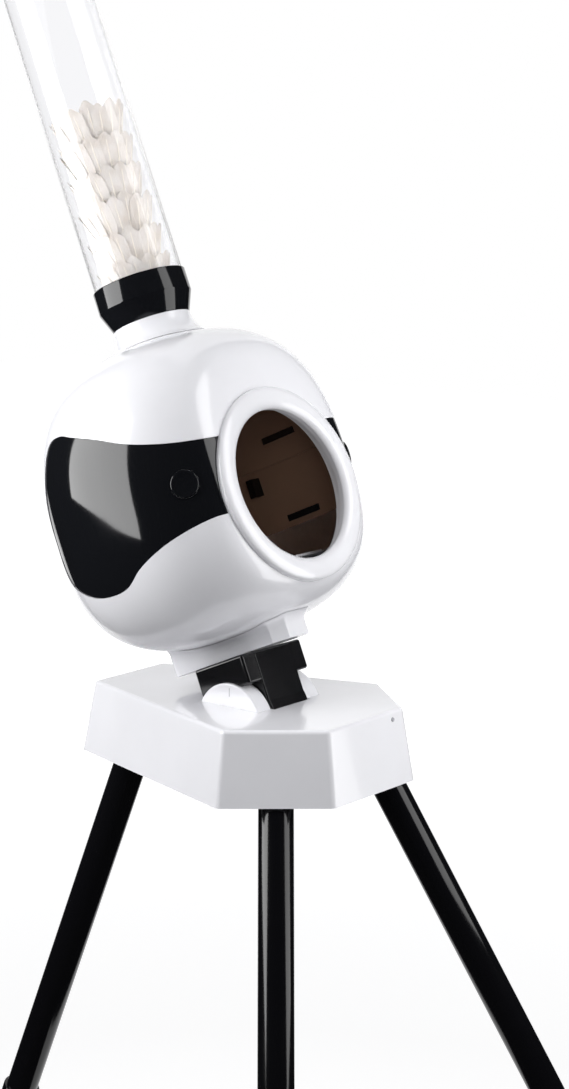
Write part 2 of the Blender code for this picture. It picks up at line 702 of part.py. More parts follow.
def cut_rear_panel(shell):
    """Cut the switch's window and the knob shaft's hole in the rear face."""
    half_x, half_y = 0.5 * SWITCH_SIZE[0] - SWITCH_RIM + GAP, 0.5 * SWITCH_SIZE[1] - SWITCH_RIM + GAP
    window = block("window", (-half_x, -half_y, -2.0 * CUT), (half_x, half_y, 2.0 * CUT))
    window.data.transform(rear_panel_place(SWITCH_X, CONTROL_DEPTH))
    boolean(shell, window)
    ends = ((0.0, 0.0, -2.0 * CUT), (0.0, 0.0, 2.0 * CUT))
    hole = rod("knob_hole", *ends, KNOB_SHAFT_RADIUS + GAP, segments=SMALL_ROUND)
    hole.data.transform(rear_panel_place(KNOB_X, CONTROL_DEPTH))
    boolean(shell, hole)


def build_switch(parent):
    """Power switch: a bezel with its body, and a rocker that tips between off and on."""
    place = rear_panel_place(SWITCH_X, CONTROL_DEPTH)
    width, height = SWITCH_SIZE
    rim_low, rim_high = (-0.5 * width, -0.5 * height, GAP), (0.5 * width, 0.5 * height, GAP + SWITCH_RIM)
    bezel = block("switch_bezel", rim_low, rim_high, SWITCH_CORNER, upright_only=True)
    inner_x, inner_y = 0.5 * width - SWITCH_RIM, 0.5 * height - SWITCH_RIM
    body = block("body", (-inner_x, -inner_y, -SWITCH_BODY), (inner_x, inner_y, GAP + 0.5 * SWITCH_RIM))
    boolean(bezel, body, "UNION")
    well_x, well_y = inner_x - SWITCH_WALL, inner_y - SWITCH_WALL
    boolean(bezel, block("well", (-well_x, -well_y, -SWITCH_WELL), (well_x, well_y, CUT)))
    bezel.data.transform(place)
    finish(bezel, "black_abs", parent)
    rock_x, rock_y = well_x - 2.0 * ROCKER_GAP, well_y - ROCKER_GAP
    outline = [(-rock_x, ROCKER_ENDS), (0.0, ROCKER_MIDDLE), (rock_x, ROCKER_ENDS), (0.94 * rock_x, 0.0)]
    outline += [(0.45 * rock_x, -ROCKER_DEPTH), (-0.45 * rock_x, -ROCKER_DEPTH), (-0.94 * rock_x, 0.0)]
    rings = [[(x, y, z) for x, z in outline] for y in (-rock_y, rock_y)]
    rocker = loft("switch_rocker", rings)
    rocker.data.transform(place @ Matrix.Rotation(ROCKER_TILT, 4, "Y"))
    return finish(rocker, "black_gloss", parent, place.translation)


def build_knob(parent):
    """Speed knob with its shaft, and the dial post behind the panel."""
    place = rear_panel_place(KNOB_X, CONTROL_DEPTH)
    bottom = GAP
    profile = [(0.0, -KNOB_SHAFT_DEPTH), (KNOB_SHAFT_RADIUS, -KNOB_SHAFT_DEPTH), (KNOB_SHAFT_RADIUS, bottom)]
    profile += [(KNOB_RADIUS, bottom)]
    profile += [(KNOB_RADIUS, bottom + 0.8 * KNOB_HEIGHT), (0.86 * KNOB_RADIUS, bottom + KNOB_HEIGHT)]
    profile += [(0.0, bottom + KNOB_HEIGHT)]
    knob = turned("speed_knob", profile, 24)
    low = (-POINTER_HALF_WIDTH, -0.80 * KNOB_RADIUS, bottom + KNOB_HEIGHT - POINTER_HALF_WIDTH)
    pointer = block("pointer", low, (POINTER_HALF_WIDTH, -0.35 * KNOB_RADIUS, bottom + KNOB_HEIGHT + CUT))
    boolean(knob, pointer)
    knob.data.transform(place)
    finish(knob, "black_abs", parent, place.translation)
    post_top = -KNOB_SHAFT_DEPTH - GAP
    profile = [(0.0, -DIAL_DEPTH), (DIAL_RADIUS, -DIAL_DEPTH), (DIAL_RADIUS, post_top), (0.0, post_top)]
    post = turned("dial_control", profile, SMALL_ROUND)
    post.data.transform(place)
    finish(post, "steel", parent)


def led_point(out):
    """Point on the front face's sloping normal through the power light."""
    slope = math.atan2(BASE_FLARE, BASE_HEIGHT)
    y = -FRONT_DEPTH - BASE_FLARE * LED_DEPTH / BASE_HEIGHT
    return (LED_X, y - out * math.cos(slope), -LED_DEPTH + out * math.sin(slope))


def build_led(parent):
    """Small power light near the front face's top edge."""
    lens = rod("power_light", led_point(LED_PROUD), led_point(-LED_BACK), LED_RADIUS, segments=12)
    return finish(lens, "led_lens", parent)


def cell_places():
    """Places of the cells along X."""
    return [(i - 0.5 * (CELL_COUNT - 1)) * CELL_SPACING for i in range(CELL_COUNT)]


def pack_outline(steps=10):
    """Outline of the wrapped row of cells, as (across, rise) around the row's axis."""
    meet = math.acos(0.5 * CELL_SPACING / CELL_RADIUS)
    upper = []
    for i, x in enumerate(cell_places()):
        start = math.pi if i == 0 else math.pi - meet
        end = 0.0 if i == CELL_COUNT - 1 else meet
        for step in range(0 if i == 0 else 1, steps + 1):
            turn = start + (end - start) * step / steps
            upper.append((x + CELL_RADIUS * math.cos(turn), CELL_RADIUS * math.sin(turn)))
    return upper + [(x, -rise) for x, rise in reversed(upper[1:-1])]


def build_electrics(parent):
    """Battery box with its pack of four wrapped cells, hinged battery door and control board."""
    half = 0.5 * CELL_SPACING * (CELL_COUNT - 1) + CELL_RADIUS + GAP
    half_length = 0.5 * CELL_LENGTH + 4.0 * GAP
    floor = PLATE_TOP + GAP
    wall = BATTERY_BOX_WALL
    low = (-half - wall, CELL_CENTRE_Y - half_length - wall, floor)
    high = (half + wall, CELL_CENTRE_Y + half_length + wall, floor + BATTERY_BOX_HEIGHT)
    box = block("battery_box", low, high)
    inner_low = (-half, CELL_CENTRE_Y - half_length, floor - CUT)
    inner_high = (half, CELL_CENTRE_Y + half_length, floor + BATTERY_BOX_HEIGHT + CUT)
    boolean(box, block("inside", inner_low, inner_high))
    finish(box, "black_abs", parent)
    centre_z = floor + CELL_RADIUS + GAP
    front = CELL_CENTRE_Y - 0.5 * CELL_LENGTH
    back = front + CELL_LENGTH - CELL_NUB
    outline = [(x, centre_z + rise) for x, rise in pack_outline()]
    cells = loft("battery_pack", [[(x, y, z) for x, z in outline] for y in (front, back)])
    for x in cell_places():
        ends = ((x, back - CELL_NUB, centre_z), (x, back + CELL_NUB, centre_z))
        boolean(cells, rod("nub", *ends, CELL_NUB_RADIUS, segments=12), "UNION")
    finish(cells, "battery_wrap", parent)
    build_battery_door(parent)
    x, y, thick = BOARD_SIZE
    under = PLATE_TOP + GAP + BOARD_STANDOFF
    low = (-0.5 * x, BOARD_CENTRE_Y - 0.5 * y, under)
    board = block("control_board", low, (0.5 * x, BOARD_CENTRE_Y + 0.5 * y, under + thick))
    for sign_x in (-1.0, 1.0):
        for sign_y in (-1.0, 1.0):
            along, across = 0.5 * x - STANDOFF_INSET, 0.5 * y - STANDOFF_INSET
            foot = (sign_x * along, BOARD_CENTRE_Y + sign_y * across, PLATE_TOP + GAP)
            top = (foot[0], foot[1], under + 0.5 * thick)
            boolean(board, rod("standoff", foot, top, STANDOFF_RADIUS, segments=12), "UNION")
    for chip_x, chip_y, chip_w, chip_z in CHIPS:
        centre_y = BOARD_CENTRE_Y + chip_y
        low = (chip_x - chip_w, centre_y - 0.5 * chip_w, under + 0.5 * thick)
        high = (chip_x + chip_w, centre_y + 0.5 * chip_w, under + thick + chip_z)
        boolean(board, block("chip", low, high), "UNION")
    finish(board, "circuit_green", parent)


DOOR_EDGE_RADIUS = 0.5 * (PLATE_THICKNESS - GAP)


def door_axis():
    """Point on the battery door's hinge line."""
    return (0.0, DOOR_FRONT + DOOR_LENGTH - GAP - DOOR_EDGE_RADIUS, PLATE_BOTTOM + DOOR_EDGE_RADIUS)


def build_battery_door(parent):
    """Door in the base plate, turning down on a round edge at its rear."""
    half = DOOR_HALF_WIDTH - GAP
    _, pin_y, pin_z = door_axis()
    outline = [(DOOR_FRONT + GAP, PLATE_TOP - GAP), (DOOR_FRONT + GAP, PLATE_BOTTOM)]
    for i in range(SMALL_ROUND // 2 + 1):
        turn = -0.5 * math.pi + 2.0 * math.pi * i / SMALL_ROUND
        outline.append((pin_y + DOOR_EDGE_RADIUS * math.cos(turn), pin_z + DOOR_EDGE_RADIUS * math.sin(turn)))
    door = prism("battery_door", outline, "X", -half, half)
    near, far, deep = DOOR_GRIP
    low = (-DOOR_GRIP_HALF_WIDTH, DOOR_FRONT + near, PLATE_BOTTOM - CUT)
    boolean(door, block("grip", low, (DOOR_GRIP_HALF_WIDTH, DOOR_FRONT + far, PLATE_BOTTOM + deep)))
    return finish(door, "black_abs", parent, door_axis())


# Head form

def blend_min(a, b, width):
    """Smaller of two values, with a rounded change between them."""
    share = max(width - abs(a - b), 0.0) / width
    return min(a, b) - share * share * width * 0.25


def semi_axes(y, z, inset):
    """Half sizes of the head form on the side that y and z point to."""
    across = HEAD_HALF_WIDTH - inset
    along = (HEAD_FRONT if y < 0.0 else HEAD_REAR) - inset
    upright = (HEAD_UP if z > 0.0 else HEAD_DOWN) - inset
    return across, along, upright


def form_point(direction, inset):
    """Point of the head form in a direction from its centre, in head coordinates."""
    x, y, z = direction
    across, along, upright = semi_axes(y, z, inset)
    plan = (abs(x / across) ** PLAN_POWER + abs(y / along) ** PLAN_POWER) ** (SIDE_POWER / PLAN_POWER)
    reach = (plan + abs(z / upright) ** SIDE_POWER) ** (-1.0 / SIDE_POWER)
    depth = reach * y - HEAD_FORWARD
    if depth < 0.0:
        depth = -blend_min(-depth, PORT_FACE - inset, PORT_FACE_BLEND)
    return Vector((reach * x, depth, reach * z + HEAD_RISE))


def head_form(name, inset=0.0, fine=False):
    """Closed helmet form, drawn in by an inset, with the same diagonals on every form."""
    segments, rings = (FORM_SEGMENTS, FORM_RINGS) if fine else (INNER_SEGMENTS, INNER_RINGS)
    bm = bmesh.new()
    levels = []
    for i in range(1, rings):
        rise = math.pi * i / rings - 0.5 * math.pi
        level = []
        for j in range(segments):
            turn = 2.0 * math.pi * j / segments
            direction = (math.cos(rise) * math.cos(turn), math.cos(rise) * math.sin(turn), math.sin(rise))
            level.append(bm.verts.new(form_point(direction, inset)))
        levels.append(level)
    bottom = bm.verts.new(form_point((0.0, 0.0, -1.0), inset))
    top = bm.verts.new(form_point((0.0, 0.0, 1.0), inset))
    for j in range(segments):
        k = (j + 1) % segments
        bm.faces.new((bottom, levels[0][k], levels[0][j]))
        bm.faces.new((top, levels[-1][j], levels[-1][k]))
        mirrored = math.cos(2.0 * math.pi * (j + 0.5) / segments) < 0.0
        for lower, upper in zip(levels, levels[1:]):
            if mirrored:
                bm.faces.new((lower[j], lower[k], upper[j]))
                bm.faces.new((lower[k], upper[k], upper[j]))
            else:
                bm.faces.new((lower[j], lower[k], upper[k]))
                bm.faces.new((lower[j], upper[k], upper[j]))
    return link_mesh(name, bm)


def side_point(y, z, side, inset=0.0):
    """Point on the head's side at a depth and a height, in head coordinates."""
    local_y, local_z = y + HEAD_FORWARD, z - HEAD_RISE
    across, along, upright = semi_axes(local_y, local_z, inset)
    plan = (1.0 - abs(local_z / upright) ** SIDE_POWER) ** (PLAN_POWER / SIDE_POWER)
    x = across * (plan - abs(local_y / along) ** PLAN_POWER) ** (1.0 / PLAN_POWER)
    return Vector((side * x, y, z))


def side_normal(y, z, side):
    """Outward normal of the head's side at a depth and a height."""
    step = GAP
    along = side_point(y + step, z, side) - side_point(y - step, z, side)
    upright = side_point(y, z + step, side) - side_point(y, z - step, side)
    normal = along.cross(upright).normalized()
    return normal if normal.x * side > 0.0 else -normal


def slab(name, low, high):
    """Wide flat cutter between two heights."""
    return block(name, (-REACH, -REACH, low), (REACH, REACH, high))


def port_cutter(name, radius, back=-SEAM_DEPTH):
    """Cylinder through the launch port, from in front of the head to a depth."""
    ends = ((0.0, -REACH, PORT_RISE), (0.0, back, PORT_RISE))
    return rod(name, *ends, radius, segments=48)


def smooth_outline(points, steps=3):
    """Closed Catmull-Rom curve through points of a flat outline."""
    curve = []
    count = len(points)
    for i in range(count):
        p0, p1, p2, p3 = (Vector(points[(i + k) % count]) for k in (-1, 0, 1, 2))
        for s in range(steps):
            t = s / steps
            bend = 2.0 * p0 - 5.0 * p1 + 4.0 * p2 - p3
            twist = 3.0 * p1 - p0 - 3.0 * p2 + p3
            curve.append(tuple(0.5 * (2.0 * p1 + (p2 - p0) * t + bend * t * t + twist * t ** 3)))
    return curve


def visor_prism(name, side, grow=0.0):
    """Visor outline pushed along X through one side of the head."""
    outline = smooth_outline([(y, HEAD_RISE + rise) for y, rise in VISOR_OUTLINE], 2)
    if grow > 0.0:
        grown = []
        for i, (y, z) in enumerate(outline):
            before, after = Vector(outline[i - 1]), Vector(outline[(i + 1) % len(outline)])
            run = (after - before).normalized()
            grown.append((y - run.y * grow, z + run.x * grow))
        outline = grown
    body = prism(name, outline, "X", side * HEAD_FOOT_HALF_WIDTH, side * REACH)
    boolean(body, port_cutter("ring_room", PORT_RING_RADIUS + GAP - grow))
    return body


def build_shells(parent):
    """Front and rear white shells with visor recesses, port hole and neck hole."""
    shell = head_form("front_shell", 0.0, fine=True)
    boolean(shell, head_form("cavity", SHELL_WALL))
    for side in (-1.0, 1.0):
        recess = visor_prism("recess", side, GAP)
        boolean(recess, head_form("core", VISOR_DROP + VISOR_THICKNESS + GAP, fine=True))
        boolean(shell, recess)
    boolean(shell, port_cutter("port_hole", PORT_RADIUS + PORT_BARREL_WALL + GAP))
    ends = ((0.0, -HEAD_FORWARD, HEAD_RISE), (0.0, -HEAD_FORWARD, HEAD_RISE + REACH))
    boolean(shell, rod("neck_hole", *ends, NECK_BARREL_RADIUS + GAP))
    mesh = shell.data.copy()
    rear = bpy.data.objects.new("rear_shell", mesh)
    bpy.context.scene.collection.objects.link(rear)
    seam = 0.5 * GAP
    behind = block("behind", (-REACH, SEAM_DEPTH - seam, -REACH), (REACH, REACH, 2.0 * REACH))
    boolean(shell, behind)
    before = block("before", (-REACH, -REACH, -REACH), (REACH, SEAM_DEPTH + seam, 2.0 * REACH))
    boolean(rear, before)
    finish(shell, "white_abs", parent)
    finish(rear, "white_abs", parent)


def build_visors(parent):
    """Gloss black side visors with their round screw caps."""
    for side, word in ((-1.0, "left"), (1.0, "right")):
        visor = visor_prism(f"visor_{word}", side)
        boolean(visor, head_form("skin", VISOR_DROP, fine=True), "INTERSECT")
        boolean(visor, head_form("core", VISOR_DROP + VISOR_THICKNESS, fine=True))
        y, z = VISOR_CAP_AT[0], HEAD_RISE + VISOR_CAP_AT[1]
        centre, normal = side_point(y, z, side), side_normal(y, z, side)
        ends = (centre - normal * CUT, centre + normal * CUT)
        boolean(visor, rod("cap_hole", *ends, VISOR_CAP_RADIUS + GAP, segments=24))
        finish(visor, "black_gloss", parent)
        low, high = VISOR_DROP + VISOR_THICKNESS - VISOR_CAP_SINK, VISOR_CAP_PROUD
        profile = [(0.0, -low), (VISOR_CAP_RADIUS, -low), (VISOR_CAP_RADIUS, high - VISOR_CAP_EDGE)]
        profile += [(VISOR_CAP_RADIUS - VISOR_CAP_EDGE, high), (0.0, high)]
        cap = turned(f"visor_cap_{word}", profile, 24)
        turn = normal.to_track_quat("Z", "Y").to_matrix().to_4x4()
        cap.data.transform(Matrix.Translation(centre) @ turn)
        finish(cap, "black_gloss", parent)


def build_port_ring(parent):
    """White ring that frames the launch port and reaches in through the shell."""
    back = PORT_FACE + GAP
    inner = PORT_BARREL_DEPTH
    rim = PORT_RING_RADIUS
    barrel = PORT_RADIUS + PORT_BARREL_WALL
    profile = [
        (PORT_RADIUS, back - inner), (barrel, back - inner), (barrel, back), (rim - PORT_FLANGE_EDGE, back),
        (rim, back + PORT_FLANGE_RIM), (rim - PORT_FLANGE_SHOULDER[0], back + PORT_FLANGE_SHOULDER[1]),
        (barrel, PORT_LIP), (PORT_RADIUS + PORT_LIP_EDGE, PORT_LIP), (PORT_RADIUS, PORT_LIP - PORT_LIP_EDGE),
    ]
    ring = turned("port_ring", profile, 48)
    turn = Matrix.Rotation(math.radians(90.0), 4, "X")
    ring.data.transform(Matrix.Translation((0.0, 0.0, PORT_RISE)) @ turn)
    return finish(ring, "white_abs", parent)


def build_neck(parent):
    """Short flared neck, gloss black collar and clear magazine tube on the tube axis."""
    axis = Matrix.Translation((0.0, -HEAD_FORWARD, 0.0))
    low, high = NECK_SEAT_HEIGHT - NECK_RIM_DROP, NECK_SEAT_HEIGHT + NECK_RIM_HEIGHT
    flare = [(NECK_SEAT_RADIUS, low), (NECK_SEAT_RADIUS - NECK_LIP, high)]
    start = high + NECK_FLARE_STEP
    steps = 4
    for i in range(1, steps + 1):
        t = i / steps
        radius = NECK_TOP_RADIUS + (NECK_SEAT_RADIUS - NECK_TOP_RADIUS) * (1.0 - t) ** NECK_FLARE_POWER
        flare.append((radius, start + (NECK_TOP - start) * t))
    profile = [(SHUTTLE_BORE, NECK_TOP), (SHUTTLE_BORE, NECK_BARREL_BOTTOM)]
    profile.append((NECK_BARREL_RADIUS, NECK_BARREL_BOTTOM))
    profile.append((NECK_BARREL_RADIUS, NECK_SEAT_HEIGHT + NECK_BARREL_STEP))
    neck = turned("neck", profile + flare, 40)
    neck.data.transform(axis)
    finish(neck, "white_abs", parent)
    bottom = NECK_TOP + GAP
    shoulder = COLLAR_CONE_TOP
    socket = TUBE_RADIUS + GAP
    profile = [
        (SHUTTLE_BORE, bottom), (NECK_TOP_RADIUS, bottom), (COLLAR_RADIUS, COLLAR_CONE_TOP),
        (COLLAR_RADIUS, COLLAR_TOP - COLLAR_EDGE), (COLLAR_RADIUS - COLLAR_EDGE, COLLAR_TOP),
        (socket, COLLAR_TOP), (socket, shoulder), (SHUTTLE_BORE, shoulder),
    ]
    collar = turned("tube_collar", profile, 40)
    collar.data.transform(axis)
    finish(collar, "black_gloss", parent)
    foot = shoulder + GAP
    inner = TUBE_RADIUS - TUBE_WALL
    mouth = foot + TUBE_LENGTH
    profile = [(inner, foot), (TUBE_RADIUS, foot), (TUBE_RADIUS, mouth), (inner, mouth)]
    tube = turned("magazine_tube", profile, 40)
    tube.data.transform(axis)
    finish(tube, "clear_plastic", parent, (0.0, -HEAD_FORWARD, foot))


def build_shuttlecocks(parent):
    """Stack of nested shuttlecocks, corks down, standing on the gate."""
    stack = None
    outer = []
    for i in range(5):
        turn = 0.5 * math.pi * i / 4
        outer.append((CORK_RADIUS * math.sin(turn), CORK_RADIUS * (1.0 - math.cos(turn))))
    neck_radius = CORK_RADIUS - SKIRT_WALL
    outer += [(CORK_RADIUS, CORK_HEIGHT - SKIRT_WALL), (SKIRT_TOP_RADIUS, SHUTTLE_LENGTH)]
    outer += [(SKIRT_TOP_RADIUS - SKIRT_WALL, SHUTTLE_LENGTH), (neck_radius, CORK_HEIGHT), (0.0, CORK_HEIGHT)]
    for i in range(SHUTTLE_COUNT):
        bottom = GATE_TOP + GAP + i * SHUTTLE_PITCH
        shuttle = turned("shuttlecocks", [(r, z + bottom) for r, z in outer], SMALL_ROUND)
        stack = shuttle if stack is None else boolean(stack, shuttle, "UNION")
    stack.data.transform(Matrix.Translation((0.0, -HEAD_FORWARD, 0.0)))
    return finish(stack, "feather", parent, (0.0, -HEAD_FORWARD, GATE_TOP))


def link_outline(first, first_radius, second, second_radius, steps=8):
    """Outline of two circles and the straight tangents between them."""
    first, second = Vector(first), Vector(second)
    run = second - first
    heading = math.atan2(run.y, run.x)
    spread = math.acos((first_radius - second_radius) / run.length)
    points = []
    for i in range(steps + 1):
        turn = heading - spread + 2.0 * spread * i / steps
        points.append((second.x + second_radius * math.cos(turn), second.y + second_radius * math.sin(turn)))
    for i in range(steps + 1):
        turn = heading + spread + (2.0 * math.pi - 2.0 * spread) * i / steps
        points.append((first.x + first_radius * math.cos(turn), first.y + first_radius * math.sin(turn)))
    return points


def build_gate(parent):
    """Swinging gate under the neck, turned by a small servo."""
    bottom = GATE_TOP - GATE_THICKNESS
    pivot = (GATE_PIVOT_X, -HEAD_FORWARD)
    outline = link_outline((0.0, -HEAD_FORWARD), GATE_PADDLE_RADIUS, pivot, GATE_HUB_RADIUS)
    gate = prism("feed_gate", outline, "Z", bottom, GATE_TOP)
    servo_top = bottom - SERVO_TO_HUB
    servo_bottom = CEILING_BOTTOM + CEILING_THICKNESS + GAP
    ends = ((*pivot, servo_top + 2.0 * GAP), (*pivot, bottom + 0.5 * GATE_THICKNESS))
    hub = rod("hub", *ends, GATE_BOSS_RADIUS, segments=SMALL_ROUND)
    boolean(gate, hub, "UNION")
    shaft_top = servo_top + SERVO_SHAFT_LENGTH
    ends = ((*pivot, servo_top - CUT), (*pivot, shaft_top + GAP))
    boolean(gate, rod("shaft_hole", *ends, SERVO_SHAFT_RADIUS + GAP, segments=SMALL_ROUND))
    finish(gate, "grey_nylon", parent, (*pivot, bottom))
    low = (GATE_PIVOT_X - 0.5 * SERVO_LENGTH, -HEAD_FORWARD - 0.5 * SERVO_WIDTH, servo_bottom)
    high = (GATE_PIVOT_X + 0.5 * SERVO_LENGTH, -HEAD_FORWARD + 0.5 * SERVO_WIDTH, servo_top)
    servo = block("gate_servo", low, high)
    ends = ((*pivot, servo_top - SERVO_SHAFT_LENGTH), (*pivot, shaft_top))
    shaft = rod("shaft", *ends, SERVO_SHAFT_RADIUS, segments=SMALL_ROUND)
    boolean(servo, shaft, "UNION")
    finish(servo, "black_abs", parent)


# Launch chamber

def form_section(height, inset):
    """Plan of the head form at a height, as a ring of points."""
    local_z = height - HEAD_RISE
    points = []
    for j in range(INNER_SEGMENTS):
        turn = 2.0 * math.pi * j / INNER_SEGMENTS
        x, y = math.cos(turn), math.sin(turn)
        across, along, upright = semi_axes(y, local_z, inset)
        share = (1.0 - abs(local_z / upright) ** SIDE_POWER) ** (1.0 / SIDE_POWER)
        reach = share * (abs(x / across) ** PLAN_POWER + abs(y / along) ** PLAN_POWER) ** (-1.0 / PLAN_POWER)
        depth = reach * y - HEAD_FORWARD
        if depth < 0.0:
            depth = -blend_min(-depth, PORT_FACE - inset, PORT_FACE_BLEND)
        points.append((reach * x, depth))
    return points


LINER_OUTER_INSET = SHELL_WALL + LINER_GAP
LINER_INNER_INSET = LINER_OUTER_INSET + LINER_WALL
BAND_INNER_INSET = LINER_INNER_INSET + LINER_BAND
PAN_OUTER_INSET = BAND_INNER_INSET + GAP
PAN_INNER_INSET = PAN_OUTER_INSET + PAN_WALL


def build_liner(parent):
    """Dark brown wall of the chamber, thicker in an upper and a lower band, and its ceiling."""
    liner = head_form("chamber_liner", LINER_OUTER_INSET)
    boolean(liner, slab("above", CEILING_BOTTOM - GAP, 2.0 * REACH))
    boolean(liner, slab("below", -REACH, LINER_BOTTOM))
    boolean(liner, head_form("bands", BAND_INNER_INSET))
    middle = head_form("middle", LINER_INNER_INSET)
    boolean(middle, slab("above", HEAD_RISE + UPPER_BAND_RISE, 2.0 * REACH))
    boolean(middle, slab("below", -REACH, HEAD_RISE - LOWER_BAND_DROP))
    boolean(liner, middle)
    boolean(liner, port_cutter("port_hole", PORT_RADIUS + PORT_BARREL_WALL + GAP))
    finish(liner, "brown_liner", parent)
    outline = form_section(CEILING_BOTTOM, SHELL_WALL + CEILING_MARGIN)
    top = CEILING_BOTTOM + CEILING_THICKNESS
    ceiling = prism("chamber_ceiling", outline, "Z", CEILING_BOTTOM, top)
    ends = ((0.0, -HEAD_FORWARD, CEILING_BOTTOM - CUT), (0.0, -HEAD_FORWARD, top + CUT))
    boolean(ceiling, rod("drop_hole", *ends, DROP_HOLE_RADIUS))
    finish(ceiling, "brown_liner", parent)


def build_pan(parent):
    """Steel pan at the bottom of the chamber, with a rubber mat where the cork lands."""
    pan = head_form("launch_pan", PAN_OUTER_INSET)
    boolean(pan, slab("above", HEAD_RISE - PAN_RIM_DROP, 2.0 * REACH))
    boolean(pan, slab("below", -REACH, PAN_FLOOR))
    hollow = head_form("hollow", PAN_INNER_INSET)
    boolean(hollow, slab("floor", -REACH, PAN_FLOOR + PAN_FLOOR_THICKNESS))
    boolean(pan, hollow)
    boolean(pan, port_cutter("port_hole", PORT_RADIUS + PORT_BARREL_WALL + GAP, -PAN_PORT_REACH))
    finish(pan, "pan_metal", parent)
    mat_bottom = PAN_FLOOR + PAN_FLOOR_THICKNESS + GAP
    low = (-MAT_HALF_WIDTH, -MAT_FRONT, mat_bottom)
    high = (MAT_HALF_WIDTH, MAT_BACK, mat_bottom + MAT_THICKNESS)
    mat = block("cork_mat", low, high, MAT_CORNER, upright_only=True)
    finish(mat, "black_rubber", parent)


def build_catches(parent):
    """Four dark catches that clip the liner's bands, and the shuttlecock sensor."""
    for side, word in ((-1.0, "left"), (1.0, "right")):
        for above, level in ((UPPER_CATCH_RISE, "upper"), (LOWER_CATCH_RISE, "lower")):
            rise = HEAD_RISE + above
            face = side_point(-CATCH_FORWARD, rise, side, BAND_INNER_INSET).x
            half = 0.5 * CATCH_LENGTH
            inner, outer = sorted((face - side * CATCH_PROUD, face + side * CUT))
            low = (inner, -CATCH_FORWARD - half, rise - 0.5 * CATCH_HEIGHT)
            high = (outer, -CATCH_FORWARD + half, rise + 0.5 * CATCH_HEIGHT)
            catch = block(f"catch_{word}_{level}", low, high)
            boolean(catch, head_form("room", BAND_INNER_INSET + GAP), "INTERSECT")
            finish(catch, "black_abs", parent)
    y, z = SENSOR_AT[0], HEAD_RISE + SENSOR_AT[1]
    width, depth, height = SENSOR_SIZE
    face = side_point(y, z, 1.0, LINER_INNER_INSET).x
    low = (face - width, y - 0.5 * depth, z - 0.5 * height)
    sensor = block("shuttle_sensor", low, (face + CUT, y + 0.5 * depth, z + 0.5 * height))
    boolean(sensor, head_form("room", LINER_INNER_INSET + GAP), "INTERSECT")
    finish(sensor, "black_abs", parent)


# Striker

def gear_outline(teeth, phase):
    """Outline of a spur gear with straight-sided teeth."""
    pitch_radius = 0.5 * GEAR_MODULE * teeth
    tip = pitch_radius + TOOTH_ADDENDUM * GEAR_MODULE
    root = pitch_radius - TOOTH_DEDENDUM * GEAR_MODULE
    step = 2.0 * math.pi / teeth
    points = []
    for i in range(teeth):
        middle = phase + i * step
        for share, radius in ((-TOOTH_ROOT_SHARE, root), (-TOOTH_TIP_SHARE, tip), (TOOTH_TIP_SHARE, tip),
                              (TOOTH_ROOT_SHARE, root)):
            turn = middle + 0.5 * share * step
            points.append((radius * math.cos(turn), radius * math.sin(turn)))
    return points


GEAR_START = STRIKER_HALF_WIDTH + CHEEK_GAP + CHEEK_THICKNESS + 2.0 * GEAR_GAP
GEAR_DISTANCE = 0.5 * GEAR_MODULE * (STRIKER_TEETH + PINION_TEETH)


def gear(name, teeth, centre, phase):
    """Spur gear around an axis along X."""
    outline = [(centre[0] + a, centre[1] + b) for a, b in gear_outline(teeth, phase)]
    return prism(name, outline, "X", GEAR_START, GEAR_START + GEAR_WIDTH)


def build_striker(parent):
    """Striker paddle on its shaft with a rubber pad and a gear, and the bracket that holds it."""
    y, z = STRIKER_AXIS
    axis = (0.0, y, z)
    half = STRIKER_HALF_WIDTH
    paddle = rod("striker_paddle", (-half, y, z), (half, y, z), STRIKER_HUB_RADIUS, segments=24)
    thick = 0.5 * STRIKER_PLATE
    plate = block("plate", (-half, y - thick, z), (half, y + thick, z + STRIKER_REACH))
    boolean(paddle, plate, "UNION")
    bore = STRIKER_SHAFT_RADIUS + SHAFT_CLEARANCE
    bore_ends = ((-BORE_REACH, y, z), (BORE_REACH, y, z))
    boolean(paddle, rod("bore", *bore_ends, bore, segments=SMALL_ROUND))
    finish(paddle, "grey_nylon", parent, axis)
    face = y - thick - GAP
    low = (-PAD_HALF_WIDTH, face - PAD_THICKNESS, z + PAD_BOTTOM)
    pad = block("striker_pad", low, (PAD_HALF_WIDTH, face, z + STRIKER_REACH - PAD_TOP_MARGIN))
    finish(pad, "black_rubber", parent, axis)
    outer_end = GEAR_START + GEAR_WIDTH + SHAFT_OVERHANG
    left_end = -(half + CHEEK_GAP + CHEEK_THICKNESS + SHAFT_OVERHANG)
    shaft = rod("striker_shaft", (left_end, y, z), (outer_end, y, z), STRIKER_SHAFT_RADIUS,
                segments=SMALL_ROUND)
    finish(shaft, "steel", parent, axis)
    wheel = gear("striker_gear", STRIKER_TEETH, STRIKER_AXIS, 0.0)
    boolean(wheel, rod("bore", *bore_ends, bore, segments=SMALL_ROUND))
    finish(wheel, "grey_nylon", parent, axis)
    floor = PAN_FLOOR + PAN_FLOOR_THICKNESS + GAP
    near = half + CHEEK_GAP
    far = near + CHEEK_THICKNESS
    cheek_top = z + STRIKER_HUB_RADIUS + CHEEK_ABOVE_HUB
    bracket = block("striker_bracket", (-far, y - CHEEK_HALF_DEPTH, floor),
                    (far, y + CHEEK_HALF_DEPTH, cheek_top))
    reach = CHEEK_HALF_DEPTH + CUT
    middle = ((-near, y - reach, floor + BRACKET_FLOOR), (near, y + reach, cheek_top + CUT))
    boolean(bracket, block("middle", *middle))
    boolean(bracket, rod("bore", *bore_ends, bore, segments=SMALL_ROUND))
    finish(bracket, "steel", parent)
    build_striker_drive(parent, floor)


